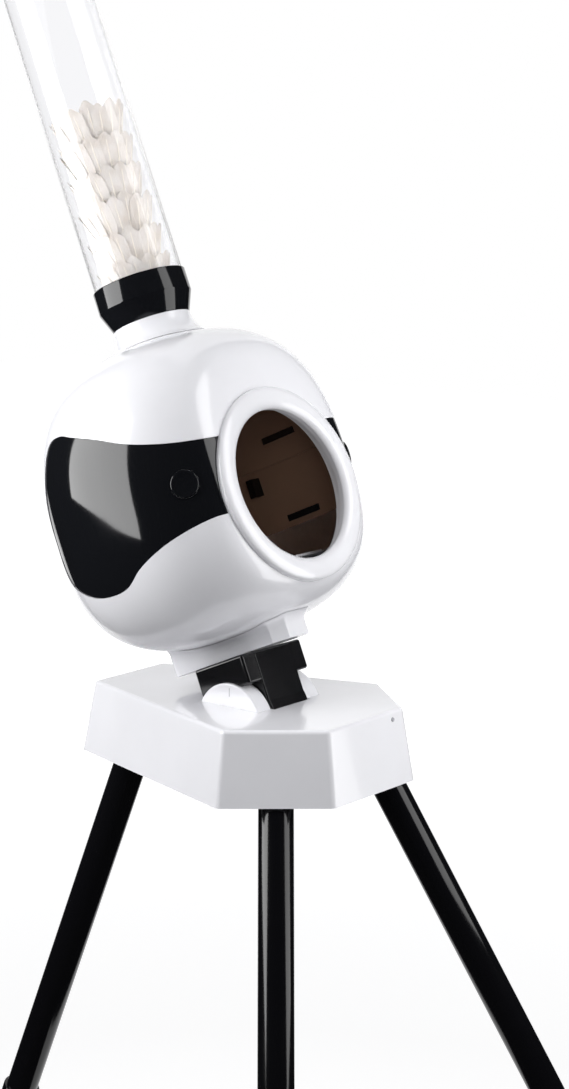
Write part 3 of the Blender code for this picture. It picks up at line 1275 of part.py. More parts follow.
def build_striker_drive(parent, floor):
    """Small motor behind the striker with the pinion that turns its gear."""
    y, z = STRIKER_AXIS
    motor_y = y + GEAR_DISTANCE
    axis = (0.0, motor_y, z)
    half_tooth = math.pi / PINION_TEETH
    pinion = gear("motor_pinion", PINION_TEETH, (motor_y, z), math.pi + half_tooth)
    bore = MOTOR_SHAFT_RADIUS + SHAFT_CLEARANCE
    ends = ((-BORE_REACH, motor_y, z), (BORE_REACH, motor_y, z))
    boolean(pinion, rod("bore", *ends, bore, segments=12))
    finish(pinion, "steel", parent, axis)
    front = GEAR_START - GEAR_GAP
    motor = rod("striker_motor", (front - MOTOR_LENGTH, motor_y, z), (front, motor_y, z), MOTOR_RADIUS,
                segments=24)
    shaft_end = GEAR_START + GEAR_WIDTH + MOTOR_SHAFT_OVERHANG
    shaft_ends = ((front - GEAR_GAP, motor_y, z), (shaft_end, motor_y, z))
    shaft = rod("shaft", *shaft_ends, MOTOR_SHAFT_RADIUS, segments=12)
    boolean(motor, shaft, "UNION")
    finish(motor, "steel", parent)
    low = (front - MOTOR_LENGTH + CRADLE_INSET, motor_y - CRADLE_HALF_DEPTH, floor)
    high = (front - CRADLE_INSET, motor_y + CRADLE_HALF_DEPTH, z - CRADLE_DROP)
    cradle = block("motor_cradle", low, high)
    boolean(cradle, rod("seat", *ends, MOTOR_RADIUS + GAP, segments=24))
    boolean(cradle, head_form("room", PAN_INNER_INSET + GAP), "INTERSECT")
    finish(cradle, "black_abs", parent)


# Foot and bracket

def build_foot_and_bracket(parent):
    """White foot under the head, and the black bracket whose lug turns between the ears."""
    low = (-HEAD_FOOT_HALF_WIDTH, -HEAD_FOOT_FRONT, BRACKET_TOP + GAP)
    high = (HEAD_FOOT_HALF_WIDTH, HEAD_FOOT_BACK, HEAD_FOOT_TOP)
    foot = block("head_foot", low, high, HEAD_FOOT_CORNER, upright_only=True)
    boolean(foot, head_form("seat", -GAP, fine=True))
    finish(foot, "white_abs", parent)
    low = (-BRACKET_HALF_WIDTH, -BRACKET_FRONT, BRACKET_BOTTOM)
    bracket = block("tilt_bracket", low, (BRACKET_HALF_WIDTH, BRACKET_BACK, BRACKET_TOP), BRACKET_EDGE)
    top = BRACKET_TOP - BRACKET_EDGE
    corner = math.sqrt(LUG_RADIUS ** 2 - LUG_FRONT ** 2)
    first = math.pi - math.atan2(corner, LUG_FRONT)
    last = math.pi + math.asin(LUG_BOTTOM / LUG_RADIUS)
    turns = [first + (last - first) * i / 10 for i in range(11)]
    outline = [(LUG_BACK, -LUG_BOTTOM), (LUG_BACK, top), (-LUG_FRONT, top)]
    outline += [(LUG_RADIUS * math.cos(turn), LUG_RADIUS * math.sin(turn)) for turn in turns]
    lug = prism("lug", outline, "X", -LUG_HALF_WIDTH, LUG_HALF_WIDTH)
    for side in (-1.0, 1.0):
        ends = ((side * (EAR_INNER - GAP), 0.0, 0.0), (side * BORE_REACH, 0.0, 0.0))
        boolean(bracket, rod("arch", *ends, EAR_RADIUS + ARCH_CLEARANCE, segments=48))
    boolean(bracket, lug, "UNION")
    ends = ((-BORE_REACH, 0.0, 0.0), (BORE_REACH, 0.0, 0.0))
    boolean(bracket, rod("bolt_hole", *ends, PIVOT_BOLT_RADIUS + GAP, segments=SMALL_ROUND))
    finish(bracket, "black_abs", parent)


def main():
    """Build the whole machine."""
    clear_objects()
    base = frame_empty("base_frame", None, (0.0, STAND_SHIFT, BASE_TOP_HEIGHT))
    head = frame_empty("head_frame", base, (0.0, 0.0, -PIVOT_DEPTH), -TILT_AT_REST)
    build_base_shell(base)
    build_base_plate(base)
    for place in LEG_PLACES:
        build_socket(place, base)
        build_leg(place, base)
    build_yoke(base)
    build_pivot(base)
    build_electrics(base)
    build_switch(base)
    build_knob(base)
    build_led(base)
    build_foot_and_bracket(head)
    build_shells(head)
    build_visors(head)
    build_port_ring(head)
    build_neck(head)
    build_shuttlecocks(head)
    build_gate(head)
    build_liner(head)
    build_pan(head)
    build_catches(head)
    build_striker(head)


main()
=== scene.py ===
"""Shuttlecock machine: visible pieces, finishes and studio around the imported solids.

Sizes are metres. Pieces of the stand are made with z = 0 on the base's top face, and pieces of
the head with their origin on the tilt pivot and Z along the shuttle tube. BASE_PLACE and
HEAD_PLACE then set their meshes in the shared frame, where every object stays at the origin.
"""

import json
import logging
import math
from collections.abc import Iterable, Sequence
from dataclasses import dataclass
from enum import Enum

import bmesh
import bpy
from mathutils import Matrix, Vector


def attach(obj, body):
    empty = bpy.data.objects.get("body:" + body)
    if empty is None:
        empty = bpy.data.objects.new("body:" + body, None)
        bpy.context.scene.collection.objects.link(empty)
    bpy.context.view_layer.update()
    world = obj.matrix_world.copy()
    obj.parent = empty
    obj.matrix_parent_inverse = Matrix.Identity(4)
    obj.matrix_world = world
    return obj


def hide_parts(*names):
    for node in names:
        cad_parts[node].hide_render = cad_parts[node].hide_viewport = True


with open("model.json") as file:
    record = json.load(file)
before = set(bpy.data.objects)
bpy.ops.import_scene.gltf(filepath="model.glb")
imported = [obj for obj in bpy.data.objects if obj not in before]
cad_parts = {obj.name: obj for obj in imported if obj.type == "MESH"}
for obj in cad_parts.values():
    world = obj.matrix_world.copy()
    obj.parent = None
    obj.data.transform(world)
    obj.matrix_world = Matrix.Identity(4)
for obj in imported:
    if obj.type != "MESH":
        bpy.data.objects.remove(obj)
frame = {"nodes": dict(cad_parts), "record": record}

logging.basicConfig(level=logging.INFO, format="%(levelname)s %(name)s: %(message)s")
LOG = logging.getLogger("shuttlecock_machine")

Point2 = tuple[float, float]
Colour = tuple[float, float, float]

TILT_AT_REST = math.radians(23.0)
PIVOT_DEPTH = 0.0150
BASE_PLACE = Matrix.Translation((0.0, -0.061513, 0.620))
HEAD_PLACE = (
    BASE_PLACE @ Matrix.Translation((0.0, 0.0, -PIVOT_DEPTH)) @ Matrix.Rotation(-TILT_AT_REST, 4, "X")
)
GAP = 0.0003
REACH = 0.30
CUT = 0.01
BOLT_RADIUS = 0.0043
SIDES = ((-1.0, "left"), (1.0, "right"))


class Body(Enum):
    """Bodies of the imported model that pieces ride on."""

    STAND = "stand"
    HEAD = "head"
    TUBE = "tube"
    STACK = "shuttle_stack"
    KNOB = "knob"


class Slot(Enum):
    """Material slots of the record."""

    WHITE = "white_abs"
    BLACK_GLOSS = "black_gloss"
    BLACK = "black_abs"
    RUBBER = "black_rubber"
    CLEAR = "clear_plastic"
    FEATHER = "feather"
    BROWN = "brown_liner"
    STEEL = "steel"
    NYLON = "grey_nylon"
    CIRCUIT = "circuit_green"
    WRAP = "battery_wrap"
    LENS = "led_lens"
    LEG = "leg_paint"
    PAN = "pan_metal"


# Mesh tools

def linked(name: str, data: bpy.types.ID) -> bpy.types.Object:
    """Put a new object with the given data in the scene."""
    item = bpy.data.objects.new(name, data)
    bpy.context.scene.collection.objects.link(item)
    return item


def quarter_turns(steps: int) -> list[float]:
    """Return the angles of a quarter circle in equal steps, without the first at 0."""
    return [0.5 * math.pi * i / steps for i in range(1, steps + 1)]


def circle(radius: float, sides: int) -> list[Point2]:
    """Return the points of a circle."""
    turns = [2.0 * math.pi * i / sides for i in range(sides)]
    return [(radius * math.cos(turn), radius * math.sin(turn)) for turn in turns]


def mesh_object(name: str, bm: bmesh.types.BMesh) -> bpy.types.Object:
    """Turn a bmesh into a linked object with outward faces.

    Args:
        name: The object's name.
        bm: Mesh data, used up by the call.

    Returns:
        The new object.
    """
    bmesh.ops.recalc_face_normals(bm, faces=bm.faces)
    mesh = bpy.data.meshes.new(name)
    bm.to_mesh(mesh)
    bm.free()
    return linked(name, mesh)


def loft(name: str, rings: Sequence[Sequence[Sequence[float]]]) -> bpy.types.Object:
    """Make a closed solid through rings of equal point counts, capped at both ends.

    Args:
        name: The object's name.
        rings: Rings of points, from one end to the other.

    Returns:
        The solid.
    """
    bm = bmesh.new()
    loops = [[bm.verts.new(point) for point in ring] for ring in rings]
    count = len(rings[0])
    for lower, upper in zip(loops, loops[1:]):
        for i in range(count):
            j = (i + 1) % count
            bm.faces.new((lower[i], lower[j], upper[j], upper[i]))
    bm.faces.new(loops[0])
    bm.faces.new(loops[-1])
    return mesh_object(name, bm)


def turned(name: str, profile: Sequence[Point2], segments: int = 96) -> bpy.types.Object:
    """Make a solid of revolution around Z.

    Args:
        name: The object's name.
        profile: Closed outline of (radius, height) points.
        segments: Steps round the axis.

    Returns:
        The solid.
    """
    bm = bmesh.new()
    columns = []
    turns = [2.0 * math.pi * i / segments for i in range(segments)]
    for radius, height in profile:
        if radius < 1e-9:
            columns.append([bm.verts.new((0.0, 0.0, height))])
        else:
            ring = [(radius * math.cos(a), radius * math.sin(a), height) for a in turns]
            columns.append([bm.verts.new(point) for point in ring])
    for first, second in zip(columns, columns[1:] + columns[:1]):
        if len(first) == 1 and len(second) == 1:
            continue
        for i in range(segments):
            j = (i + 1) % segments
            corners = []
            for column, index in ((first, i), (first, j), (second, j), (second, i)):
                corner = column[index % len(column)]
                if corner not in corners:
                    corners.append(corner)
            bm.faces.new(corners)
    return mesh_object(name, bm)


def rod(
    name: str, start: Sequence[float], end: Sequence[float], radius: float, segments: int = 64
) -> bpy.types.Object:
    """Make a round bar between two points.

    Args:
        name: The object's name.
        start: Centre of one end.
        end: Centre of the other end.
        radius: The bar's radius.
        segments: Steps round the bar.

    Returns:
        The bar.
    """
    start, end = Vector(start), Vector(end)
    length = (end - start).length
    item = turned(name, [(0.0, 0.0), (radius, 0.0), (radius, length), (0.0, length)], segments)
    item.data.transform(Matrix.Translation(start) @ aim(end - start))
    return item


def aim(direction: Vector) -> Matrix:
    """Return the turn that points Z along a direction."""
    return direction.to_track_quat("Z", "Y").to_matrix().to_4x4()


def block(name: str, low: Sequence[float], high: Sequence[float]) -> bpy.types.Object:
    """Make a box between two corners.

    Args:
        name: The object's name.
        low: Lowest corner.
        high: Highest corner.

    Returns:
        The box.
    """
    bm = bmesh.new()
    bmesh.ops.create_cube(bm, size=1.0)
    for vert in bm.verts:
        vert.co = Vector([low[i] + (vert.co[i] + 0.5) * (high[i] - low[i]) for i in range(3)])
    return mesh_object(name, bm)


def prism(name: str, outline: Sequence[Point2], start: float, end: float) -> bpy.types.Object:
    """Push a flat outline along X.

    Args:
        name: The object's name.
        outline: Points as (y, z).
        start: Place of the first end.
        end: Place of the second end.

    Returns:
        The solid.
    """
    return loft(name, [[(x, y, z) for y, z in outline] for x in (start, end)])


def rounded(corners: Sequence[tuple[float, float, float]], steps: int = 4) -> list[Point2]:
    """Round the corners of a closed flat outline.

    Args:
        corners: Points as (x, y, radius).
        steps: Steps in each rounding.

    Returns:
        The outline's points.
    """
    outline = []
    for i, (x, y, radius) in enumerate(corners):
        here = Vector((x, y))
        if radius <= 0.0:
            outline.append((x, y))
            continue
        before = (Vector(corners[i - 1][:2]) - here).normalized()
        after = (Vector(corners[(i + 1) % len(corners)][:2]) - here).normalized()
        half = 0.5 * before.angle(after)
        centre = here + (before + after).normalized() * (radius / math.sin(half))
        first = here + before * (radius / math.tan(half)) - centre
        last = here + after * (radius / math.tan(half)) - centre
        start = math.atan2(first.y, first.x)
        sweep = (math.atan2(last.y, last.x) - start + math.pi) % (2.0 * math.pi) - math.pi
        for step in range(steps + 1):
            turn = start + sweep * step / steps
            outline.append((centre.x + radius * math.cos(turn), centre.y + radius * math.sin(turn)))
    return outline


def smooth_outline(points: Sequence[Point2], steps: int) -> list[Point2]:
    """Make a closed Catmull-Rom curve through points.

    Args:
        points: Points of the flat outline.
        steps: Steps between two points.

    Returns:
        The curve's points.
    """
    curve = []
    count = len(points)
    for i in range(count):
        p0, p1, p2, p3 = (Vector(points[(i + k) % count]) for k in (-1, 0, 1, 2))
        for step in range(steps):
            t = step / steps
            bend = 2.0 * p0 - 5.0 * p1 + 4.0 * p2 - p3
            twist = 3.0 * p1 - p0 - 3.0 * p2 + p3
            curve.append(tuple(0.5 * (2.0 * p1 + (p2 - p0) * t + bend * t * t + twist * t ** 3)))
    return curve


def grown(outline: Sequence[Point2], offset: float) -> list[Point2]:
    """Move the points of a closed flat outline to its right-hand side, outwards if it runs left.

    Args:
        outline: The outline's points.
        offset: Distance that each point moves.

    Returns:
        The moved points.
    """
    moved = []
    for i, (x, y) in enumerate(outline):
        run = (Vector(outline[(i + 1) % len(outline)]) - Vector(outline[i - 1])).normalized()
        moved.append((x + run.y * offset, y - run.x * offset))
    return moved


def divided(outline: Sequence[Point2], longest: float) -> list[Point2]:
    """Split the long edges of a closed flat outline.

    Args:
        outline: The outline's points.
        longest: Length that no edge may pass.

    Returns:
        The outline with the new points.
    """
    points = []
    for (x0, y0), (x1, y1) in zip(outline, list(outline[1:]) + [outline[0]]):
        steps = max(1, math.ceil(math.hypot(x1 - x0, y1 - y0) / longest))
        points += [(x0 + (x1 - x0) * i / steps, y0 + (y1 - y0) * i / steps) for i in range(steps)]
    return points


def freeze(item: bpy.types.Object) -> bpy.types.Object:
    """Turn an object's modifiers into its mesh.

    Args:
        item: Object whose modifiers are used up.

    Returns:
        The same object.
    """
    bpy.context.view_layer.update()
    depsgraph = bpy.context.evaluated_depsgraph_get()
    result = bpy.data.meshes.new_from_object(item.evaluated_get(depsgraph))
    item.modifiers.clear()
    old = item.data
    item.data = result
    bpy.data.meshes.remove(old)
    return item


def boolean(
    target: bpy.types.Object, tool: bpy.types.Object, operation: str = "DIFFERENCE"
) -> bpy.types.Object:
    """Cut, join or intersect a solid with another.

    Args:
        target: Solid to change.
        tool: Other solid, used up by the call.
        operation: Name of the boolean.

    Returns:
        The changed solid.
    """
    modifier = target.modifiers.new("boolean", "BOOLEAN")
    modifier.operation = operation
    modifier.solver = "EXACT"
    modifier.object = tool
    freeze(target)
    bpy.data.objects.remove(tool, do_unlink=True)
    return target


def soften(item: bpy.types.Object, width: float, segments: int = 3, angle: float = 35.0) -> bpy.types.Object:
    """Round a solid's sharp edges and even out its shading.

    Args:
        item: Solid to change.
        width: Width of the rounding.
        segments: Steps in the rounding.
        angle: Smallest angle of an edge that is rounded, in degrees.

    Returns:
        The same object.
    """
    bevel = item.modifiers.new("soften", "BEVEL")
    bevel.width = width
    bevel.segments = segments
    bevel.limit_method = "ANGLE"
    bevel.angle_limit = math.radians(angle)
    bevel.use_clamp_overlap = True
    bevel.harden_normals = False
    freeze(item)
    item.data.shade_smooth()
    return weigh(item, keep_sharp=False)


def shade(item: bpy.types.Object, angle: float = 35.0) -> bpy.types.Object:
    """Shade an object smooth but for edges sharper than an angle in degrees."""
    item.data.shade_smooth()
    item.data.set_sharp_from_angle(angle=math.radians(angle))
    return item


def weigh(item: bpy.types.Object, keep_sharp: bool = True) -> bpy.types.Object:
    """Let an object's large faces lead the shading of the corners that they share."""
    even = item.modifiers.new("even", "WEIGHTED_NORMAL")
    even.weight = 80
    even.keep_sharp = keep_sharp
    return freeze(item)


def merge(name: str, items: Sequence[bpy.types.Object]) -> bpy.types.Object:
    """Put several objects' meshes into one object.

    Args:
        name: Name of the result.
        items: Objects, used up by the call.

    Returns:
        The new object.
    """
    bm = bmesh.new()
    for item in items:
        bm.from_mesh(item.data)
        bpy.data.objects.remove(item, do_unlink=True)
    mesh = bpy.data.meshes.new(name)
    bm.to_mesh(mesh)
    bm.free()
    return linked(name, mesh)


def publish(
    item: bpy.types.Object,
    body: Body,
    finish: "Finish",
    place: Matrix,
    nodes: Sequence[str] = (),
) -> bpy.types.Object:
    """Dress a finished piece, set its mesh in place, parent it to its body's empty and hide the CAD nodes
    that it stands for.

    Args:
        item: The piece, at the origin.
        body: Body that it rides on.
        finish: Its finish.
        place: Place of the mesh in the shared frame.
        nodes: CAD nodes that it stands for.

    Returns:
        The piece.
    """
    item.data.transform(place)
    item.data.materials.clear()
    item.data.materials.append(finish.material())
    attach(item, body.value)
    if nodes:
        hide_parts(*nodes)
    LOG.info("%s rides on %s with %d faces", item.name, body.value, len(item.data.polygons))
    return item


# Shader groups and finishes

def start_group(
    name: str, vectors: Sequence[str], numbers: dict[str, float], outputs: Sequence[str]
) -> tuple[bpy.types.NodeTree, bpy.types.Node, bpy.types.Node]:
    """Start a shader group with its sockets.

    Args:
        name: The group's name.
        vectors: Names of its vector inputs.
        numbers: Names and defaults of its number inputs.
        outputs: Names of its number outputs.

    Returns:
        The group, its input node and its output node.
    """
    tree = bpy.data.node_groups.new(name, "ShaderNodeTree")
    face = tree.interface
    for key in vectors:
        face.new_socket(name=key, in_out="INPUT", socket_type="NodeSocketVector")
    for key, value in numbers.items():
        face.new_socket(name=key, in_out="INPUT", socket_type="NodeSocketFloat").default_value = value
    for key in outputs:
        face.new_socket(name=key, in_out="OUTPUT", socket_type="NodeSocketFloat")
    return tree, tree.nodes.new("NodeGroupInput"), tree.nodes.new("NodeGroupOutput")


def set_inputs(node: bpy.types.Node, values: dict[str, object]) -> None:
    """Set a node's inputs by name, with colours given as three numbers."""
    for name, value in values.items():
        socket = node.inputs[name]
        socket.default_value = (*value, 1.0) if socket.type == "RGBA" else value


def wire(tree: bpy.types.NodeTree, source: bpy.types.NodeSocket, target: bpy.types.NodeSocket) -> None:
    """Link two sockets."""
    tree.links.new(source, target)


def maths(
    tree: bpy.types.NodeTree, operation: str, first: object, second: object = None
) -> bpy.types.NodeSocket:
    """Add a Math node.

    Args:
        tree: Tree that takes the node.
        operation: The node's operation.
        first: Number or socket.
        second: Number, socket or nothing.

    Returns:
        The node's output.
    """
    node = tree.nodes.new("ShaderNodeMath")
    node.operation = operation
    for index, value in enumerate((first, second)):
        if isinstance(value, bpy.types.NodeSocket):
            wire(tree, value, node.inputs[index])
        elif value is not None:
            node.inputs[index].default_value = value
    return node.outputs[0]


def remap(
    tree: bpy.types.NodeTree, source: bpy.types.NodeSocket, low: float, high: float,
    new_low: float, new_high: float,
) -> bpy.types.NodeSocket:
    """Add a clamped Map Range node.

    Args:
        tree: Tree that takes the node.
        source: Value to map.
        low: Value that becomes new_low.
        high: Value that becomes new_high.
        new_low: First end of the result.
        new_high: Second end of the result.

    Returns:
        The node's output.
    """
    node = tree.nodes.new("ShaderNodeMapRange")
    wire(tree, source, node.inputs["Value"])
    set_inputs(node, {"From Min": low, "From Max": high, "To Min": new_low, "To Max": new_high})
    return node.outputs["Result"]


def noise(
    tree: bpy.types.NodeTree, vector: bpy.types.NodeSocket, scale: object, detail: float = 3.0,
) -> bpy.types.NodeSocket:
    """Add a noise texture.

    Args:
        tree: Tree that takes the node.
        vector: Coordinates.
        scale: Number or socket.
        detail: Levels of detail.

    Returns:
        The noise value.
    """
    node = tree.nodes.new("ShaderNodeTexNoise")
    wire(tree, vector, node.inputs["Vector"])
    node.inputs["Detail"].default_value = detail
    if isinstance(scale, bpy.types.NodeSocket):
        wire(tree, scale, node.inputs["Scale"])
    else:
        node.inputs["Scale"].default_value = scale
    return node.outputs["Fac"]


def grain_group() -> bpy.types.NodeTree:
    """Build or return the group for a moulded or painted skin's fine relief.

    Returns:
        Group with inputs Vector and Scale, and outputs Relief and Patch.
    """
    tree = bpy.data.node_groups.get("skin_grain")
    if tree is not None:
        return tree
    sockets = (("Vector",), {"Scale": 900.0}, ("Relief", "Patch"))
    tree, inside, outside = start_group("skin_grain", *sockets)
    fine = noise(tree, inside.outputs["Vector"], inside.outputs["Scale"], 4.0)
    broad_scale = maths(tree, "MULTIPLY", inside.outputs["Scale"], 0.12)
    broad = noise(tree, inside.outputs["Vector"], broad_scale, 2.0)
    relief = maths(tree, "ADD", maths(tree, "MULTIPLY", fine, 0.65), maths(tree, "MULTIPLY", broad, 0.35))
    wire(tree, relief, outside.inputs["Relief"])
    wire(tree, noise(tree, inside.outputs["Vector"], 14.0, 4.0), outside.inputs["Patch"])
    return tree


def dust_group() -> bpy.types.NodeTree:
    """Build or return the group for settled dust and specks.

    Returns:
        Group with inputs Vector and Amount, and output Dust.
    """
    tree = bpy.data.node_groups.get("settled_dust")
    if tree is not None:
        return tree
    tree, inside, outside = start_group("settled_dust", ("Vector",), {"Amount": 0.1}, ("Dust",))
    geometry = tree.nodes.new("ShaderNodeNewGeometry")
    parts = tree.nodes.new("ShaderNodeSeparateXYZ")
    wire(tree, geometry.outputs["Normal"], parts.inputs[0])
    upward = remap(tree, parts.outputs["Z"], 0.2, 1.0, 0.0, 1.0)
    film = remap(tree, noise(tree, inside.outputs["Vector"], 55.0, 6.0), 0.45, 0.75, 0.0, 1.0)
    specks = remap(tree, noise(tree, inside.outputs["Vector"], 950.0, 2.0), 0.70, 0.78, 0.0, 1.0)
    both = maths(tree, "MULTIPLY", maths(tree, "ADD", film, specks), upward)
    wire(tree, maths(tree, "MULTIPLY", both, inside.outputs["Amount"]), outside.inputs["Dust"])
    return tree


def brush_group() -> bpy.types.NodeTree:
    """Build or return the group for drawn or brushed metal.

    Returns:
        Group with inputs Vector and Stretch, and outputs Relief and Streak.
    """
    tree = bpy.data.node_groups.get("brushed_metal")
    if tree is not None:
        return tree
    sockets = (("Vector", "Stretch"), {}, ("Relief", "Streak"))
    tree, inside, outside = start_group("brushed_metal", *sockets)
    product = tree.nodes.new("ShaderNodeVectorMath")
    product.operation = "MULTIPLY"
    wire(tree, inside.outputs["Vector"], product.inputs[0])
    wire(tree, inside.outputs["Stretch"], product.inputs[1])
    wire(tree, noise(tree, product.outputs[0], 1.0, 5.0), outside.inputs["Relief"])
    wire(tree, noise(tree, product.outputs[0], 0.31, 3.0), outside.inputs["Streak"])
    return tree


@dataclass(frozen=True)
class Finish:
    """A moulded, painted or plated skin with its grain, patches and dust.

    Attributes:
        name: Name of the material.
        slot: The record's slot that it belongs to.
        colour: Base colour.
        roughness: Middle roughness.
        spread: How far the roughness changes over the surface.
        metallic: Metalness.
        specular: Specular level.
        coat: Weight of the clear coat.
        grain: Scale of the grain.
        relief: Height of the grain in metres.
        dust: Amount of dust on faces that look up.
    """

    name: str
    slot: Slot
    colour: Colour
    roughness: float = 0.3
    spread: float = 0.05
    metallic: float = 0.0
    specular: float = 0.5
    coat: float = 0.0
    grain: float = 900.0
    relief: float = 0.00001
    dust: float = 0.05

    def material(self) -> bpy.types.Material:
        """Return the material, built on first use."""
        made = bpy.data.materials.get(self.name)
        return made if made is not None else self.build()

    def build(self) -> bpy.types.Material:
        """Build the material.

        Returns:
            The new material.
        """
        material = bpy.data.materials.new(self.name)
        material.use_nodes = True
        tree = material.node_tree
        shader = tree.nodes["Principled BSDF"]
        set_inputs(shader, {
            "Metallic": self.metallic, "Specular IOR Level": self.specular, "Coat Weight": self.coat,
            "Coat Roughness": 0.04,
        })
        material.diffuse_color = (*self.colour, 1.0)
        self.dress(tree, shader, tree.nodes.new("ShaderNodeTexCoord").outputs["Object"])
        return material

    def dress(
        self, tree: bpy.types.NodeTree, shader: bpy.types.Node, place: bpy.types.NodeSocket
    ) -> None:
        """Wire the pattern of this finish.

        Args:
            tree: The material's node tree.
            shader: Its Principled BSDF.
            place: Object coordinates.
        """
        grain = self.placed_group(tree, grain_group(), place)
        grain.inputs["Scale"].default_value = self.grain
        self.roughen(tree, shader, grain.outputs["Patch"])
        self.bump(tree, shader, grain.outputs["Relief"])
        self.tint(tree, shader, place, grain.outputs["Patch"])

    def placed_group(
        self, tree: bpy.types.NodeTree, group: bpy.types.NodeTree, place: bpy.types.NodeSocket
    ) -> bpy.types.Node:
        """Put a shader group in the tree and feed its Vector.

        Args:
            tree: The material's node tree.
            group: The group.
            place: Coordinates.

        Returns:
            The group's node.
        """
        node = tree.nodes.new("ShaderNodeGroup")
        node.node_tree = group
        wire(tree, place, node.inputs["Vector"])
        return node

    def roughen(
        self, tree: bpy.types.NodeTree, shader: bpy.types.Node, patch: bpy.types.NodeSocket
    ) -> None:
        """Let the roughness follow a pattern, by the finish's spread to each side."""
        rough = (self.roughness - self.spread, self.roughness + self.spread)
        wire(tree, remap(tree, patch, 0.3, 0.7, *rough), shader.inputs["Roughness"])

    def bump(
        self, tree: bpy.types.NodeTree, shader: bpy.types.Node, height: bpy.types.NodeSocket
    ) -> None:
        """Raise the surface by a height.

        Args:
            tree: The material's node tree.
            shader: Its Principled BSDF.
            height: Height from 0 to 1.
        """
        node = tree.nodes.new("ShaderNodeBump")
        node.inputs["Strength"].default_value = 1.0
        node.inputs["Distance"].default_value = self.relief
        wire(tree, height, node.inputs["Height"])
        wire(tree, node.outputs["Normal"], shader.inputs["Normal"])

    def tint(
        self, tree: bpy.types.NodeTree, shader: bpy.types.Node, place: bpy.types.NodeSocket,
        patch: bpy.types.NodeSocket,
    ) -> None:
        """Colour the surface, with a slight change over it and dust on top.

        Args:
            tree: The material's node tree.
            shader: Its Principled BSDF.
            place: Object coordinates.
            patch: Broad change from 0 to 1.
        """
        shift = self.mix(tree, patch, scaled(self.colour, 0.94), scaled(self.colour, 1.04))
        dust = self.placed_group(tree, dust_group(), place)
        dust.inputs["Amount"].default_value = self.dust
        result = self.mix(tree, dust.outputs["Dust"], shift, (0.55, 0.54, 0.52))
        wire(tree, result, shader.inputs["Base Color"])

    def mix(self, tree: bpy.types.NodeTree, factor: object, first: object, second: object) -> object:
        """Add a colour mix.

        Args:
            tree: The material's node tree.
            factor: Number or socket.
            first: Colour or socket at 0.
            second: Colour or socket at 1.

        Returns:
            The mixed colour's socket.
        """
        node = tree.nodes.new("ShaderNodeMix")
        node.data_type = "RGBA"
        for index, value in ((0, factor), (6, first), (7, second)):
            if isinstance(value, bpy.types.NodeSocket):
                wire(tree, value, node.inputs[index])
            elif index == 0:
                node.inputs[index].default_value = value
            else:
                node.inputs[index].default_value = (*value, 1.0)
        return node.outputs[2]


def scaled(colour: Colour, factor: float) -> Colour:
    """Return a colour with each part scaled and kept under 1."""
    return tuple(min(1.0, part * factor) for part in colour)


@dataclass(frozen=True)
class BrushedFinish(Finish):
    """Metal with streaks along one direction.

    Attributes:
        stretch: Frequency of the streaks along each axis.
    """

    stretch: tuple[float, float, float] = (40.0, 900.0, 900.0)

    def dress(
        self, tree: bpy.types.NodeTree, shader: bpy.types.Node, place: bpy.types.NodeSocket
    ) -> None:
        """Wire the streaks. See Finish.dress."""
        brush = self.placed_group(tree, brush_group(), place)
        brush.inputs["Stretch"].default_value = self.stretch
        self.roughen(tree, shader, brush.outputs["Streak"])
        self.bump(tree, shader, brush.outputs["Relief"])
        self.tint(tree, shader, place, brush.outputs["Streak"])


@dataclass(frozen=True)
class ClearFinish(Finish):
    """Clear extruded plastic with faint draw lines and scuffs."""

    def dress(
        self, tree: bpy.types.NodeTree, shader: bpy.types.Node, place: bpy.types.NodeSocket
    ) -> None:
        """Wire the scuffs. See Finish.dress."""
        set_inputs(shader, {
            "Transmission Weight": 1.0, "IOR": 1.04, "Coat IOR": 1.45, "Base Color": self.colour,
        })
        brush = self.placed_group(tree, brush_group(), place)
        brush.inputs["Stretch"].default_value = (700.0, 500.0, 30.0)
        rough = (self.roughness, self.roughness + self.spread)
        wire(tree, remap(tree, brush.outputs["Streak"], 0.55, 0.8, *rough), shader.inputs["Roughness"])
        self.bump(tree, shader, brush.outputs["Streak"])


@dataclass(frozen=True)
class FeatherFinish(Finish):
    """Feather vane with slanted barbs on each side of its quill, from the piece's own UV map."""

    def dress(
        self, tree: bpy.types.NodeTree, shader: bpy.types.Node, place: bpy.types.NodeSocket
    ) -> None:
        """Wire the barbs. See Finish.dress."""
        source = tree.nodes.new("ShaderNodeUVMap")
        source.uv_map = "vane"
        parts = tree.nodes.new("ShaderNodeSeparateXYZ")
        wire(tree, source.outputs["UV"], parts.inputs[0])
        across = maths(tree, "ABSOLUTE", maths(tree, "SUBTRACT", parts.outputs["X"], 0.5))
        slant = maths(tree, "SUBTRACT", parts.outputs["Y"], maths(tree, "MULTIPLY", across, 0.35))
        wobble = maths(tree, "MULTIPLY", noise(tree, place, 260.0, 3.0), 0.035)
        phase = maths(tree, "MULTIPLY", maths(tree, "ADD", slant, wobble), 420.0)
        barbs = maths(tree, "MULTIPLY", maths(tree, "ADD", maths(tree, "SINE", phase), 1.0), 0.5)
        splits = remap(tree, noise(tree, place, 620.0, 4.0), 0.55, 0.72, 0.0, 1.0)
        height = maths(tree, "SUBTRACT", barbs, splits)
        self.bump(tree, shader, height)
        shadow = self.mix(tree, barbs, scaled(self.colour, 0.70), self.colour)
        aged = remap(tree, noise(tree, place, 70.0, 3.0), 0.40, 0.70, 0.0, 0.6)
        wire(tree, self.mix(tree, aged, shadow, (0.46, 0.40, 0.34)), shader.inputs["Base Color"])
        set_inputs(shader, {
            "Roughness": self.roughness, "Sheen Weight": 0.15, "Subsurface Weight": 0.10,
            "Subsurface Radius": (0.004, 0.003, 0.002),
        })


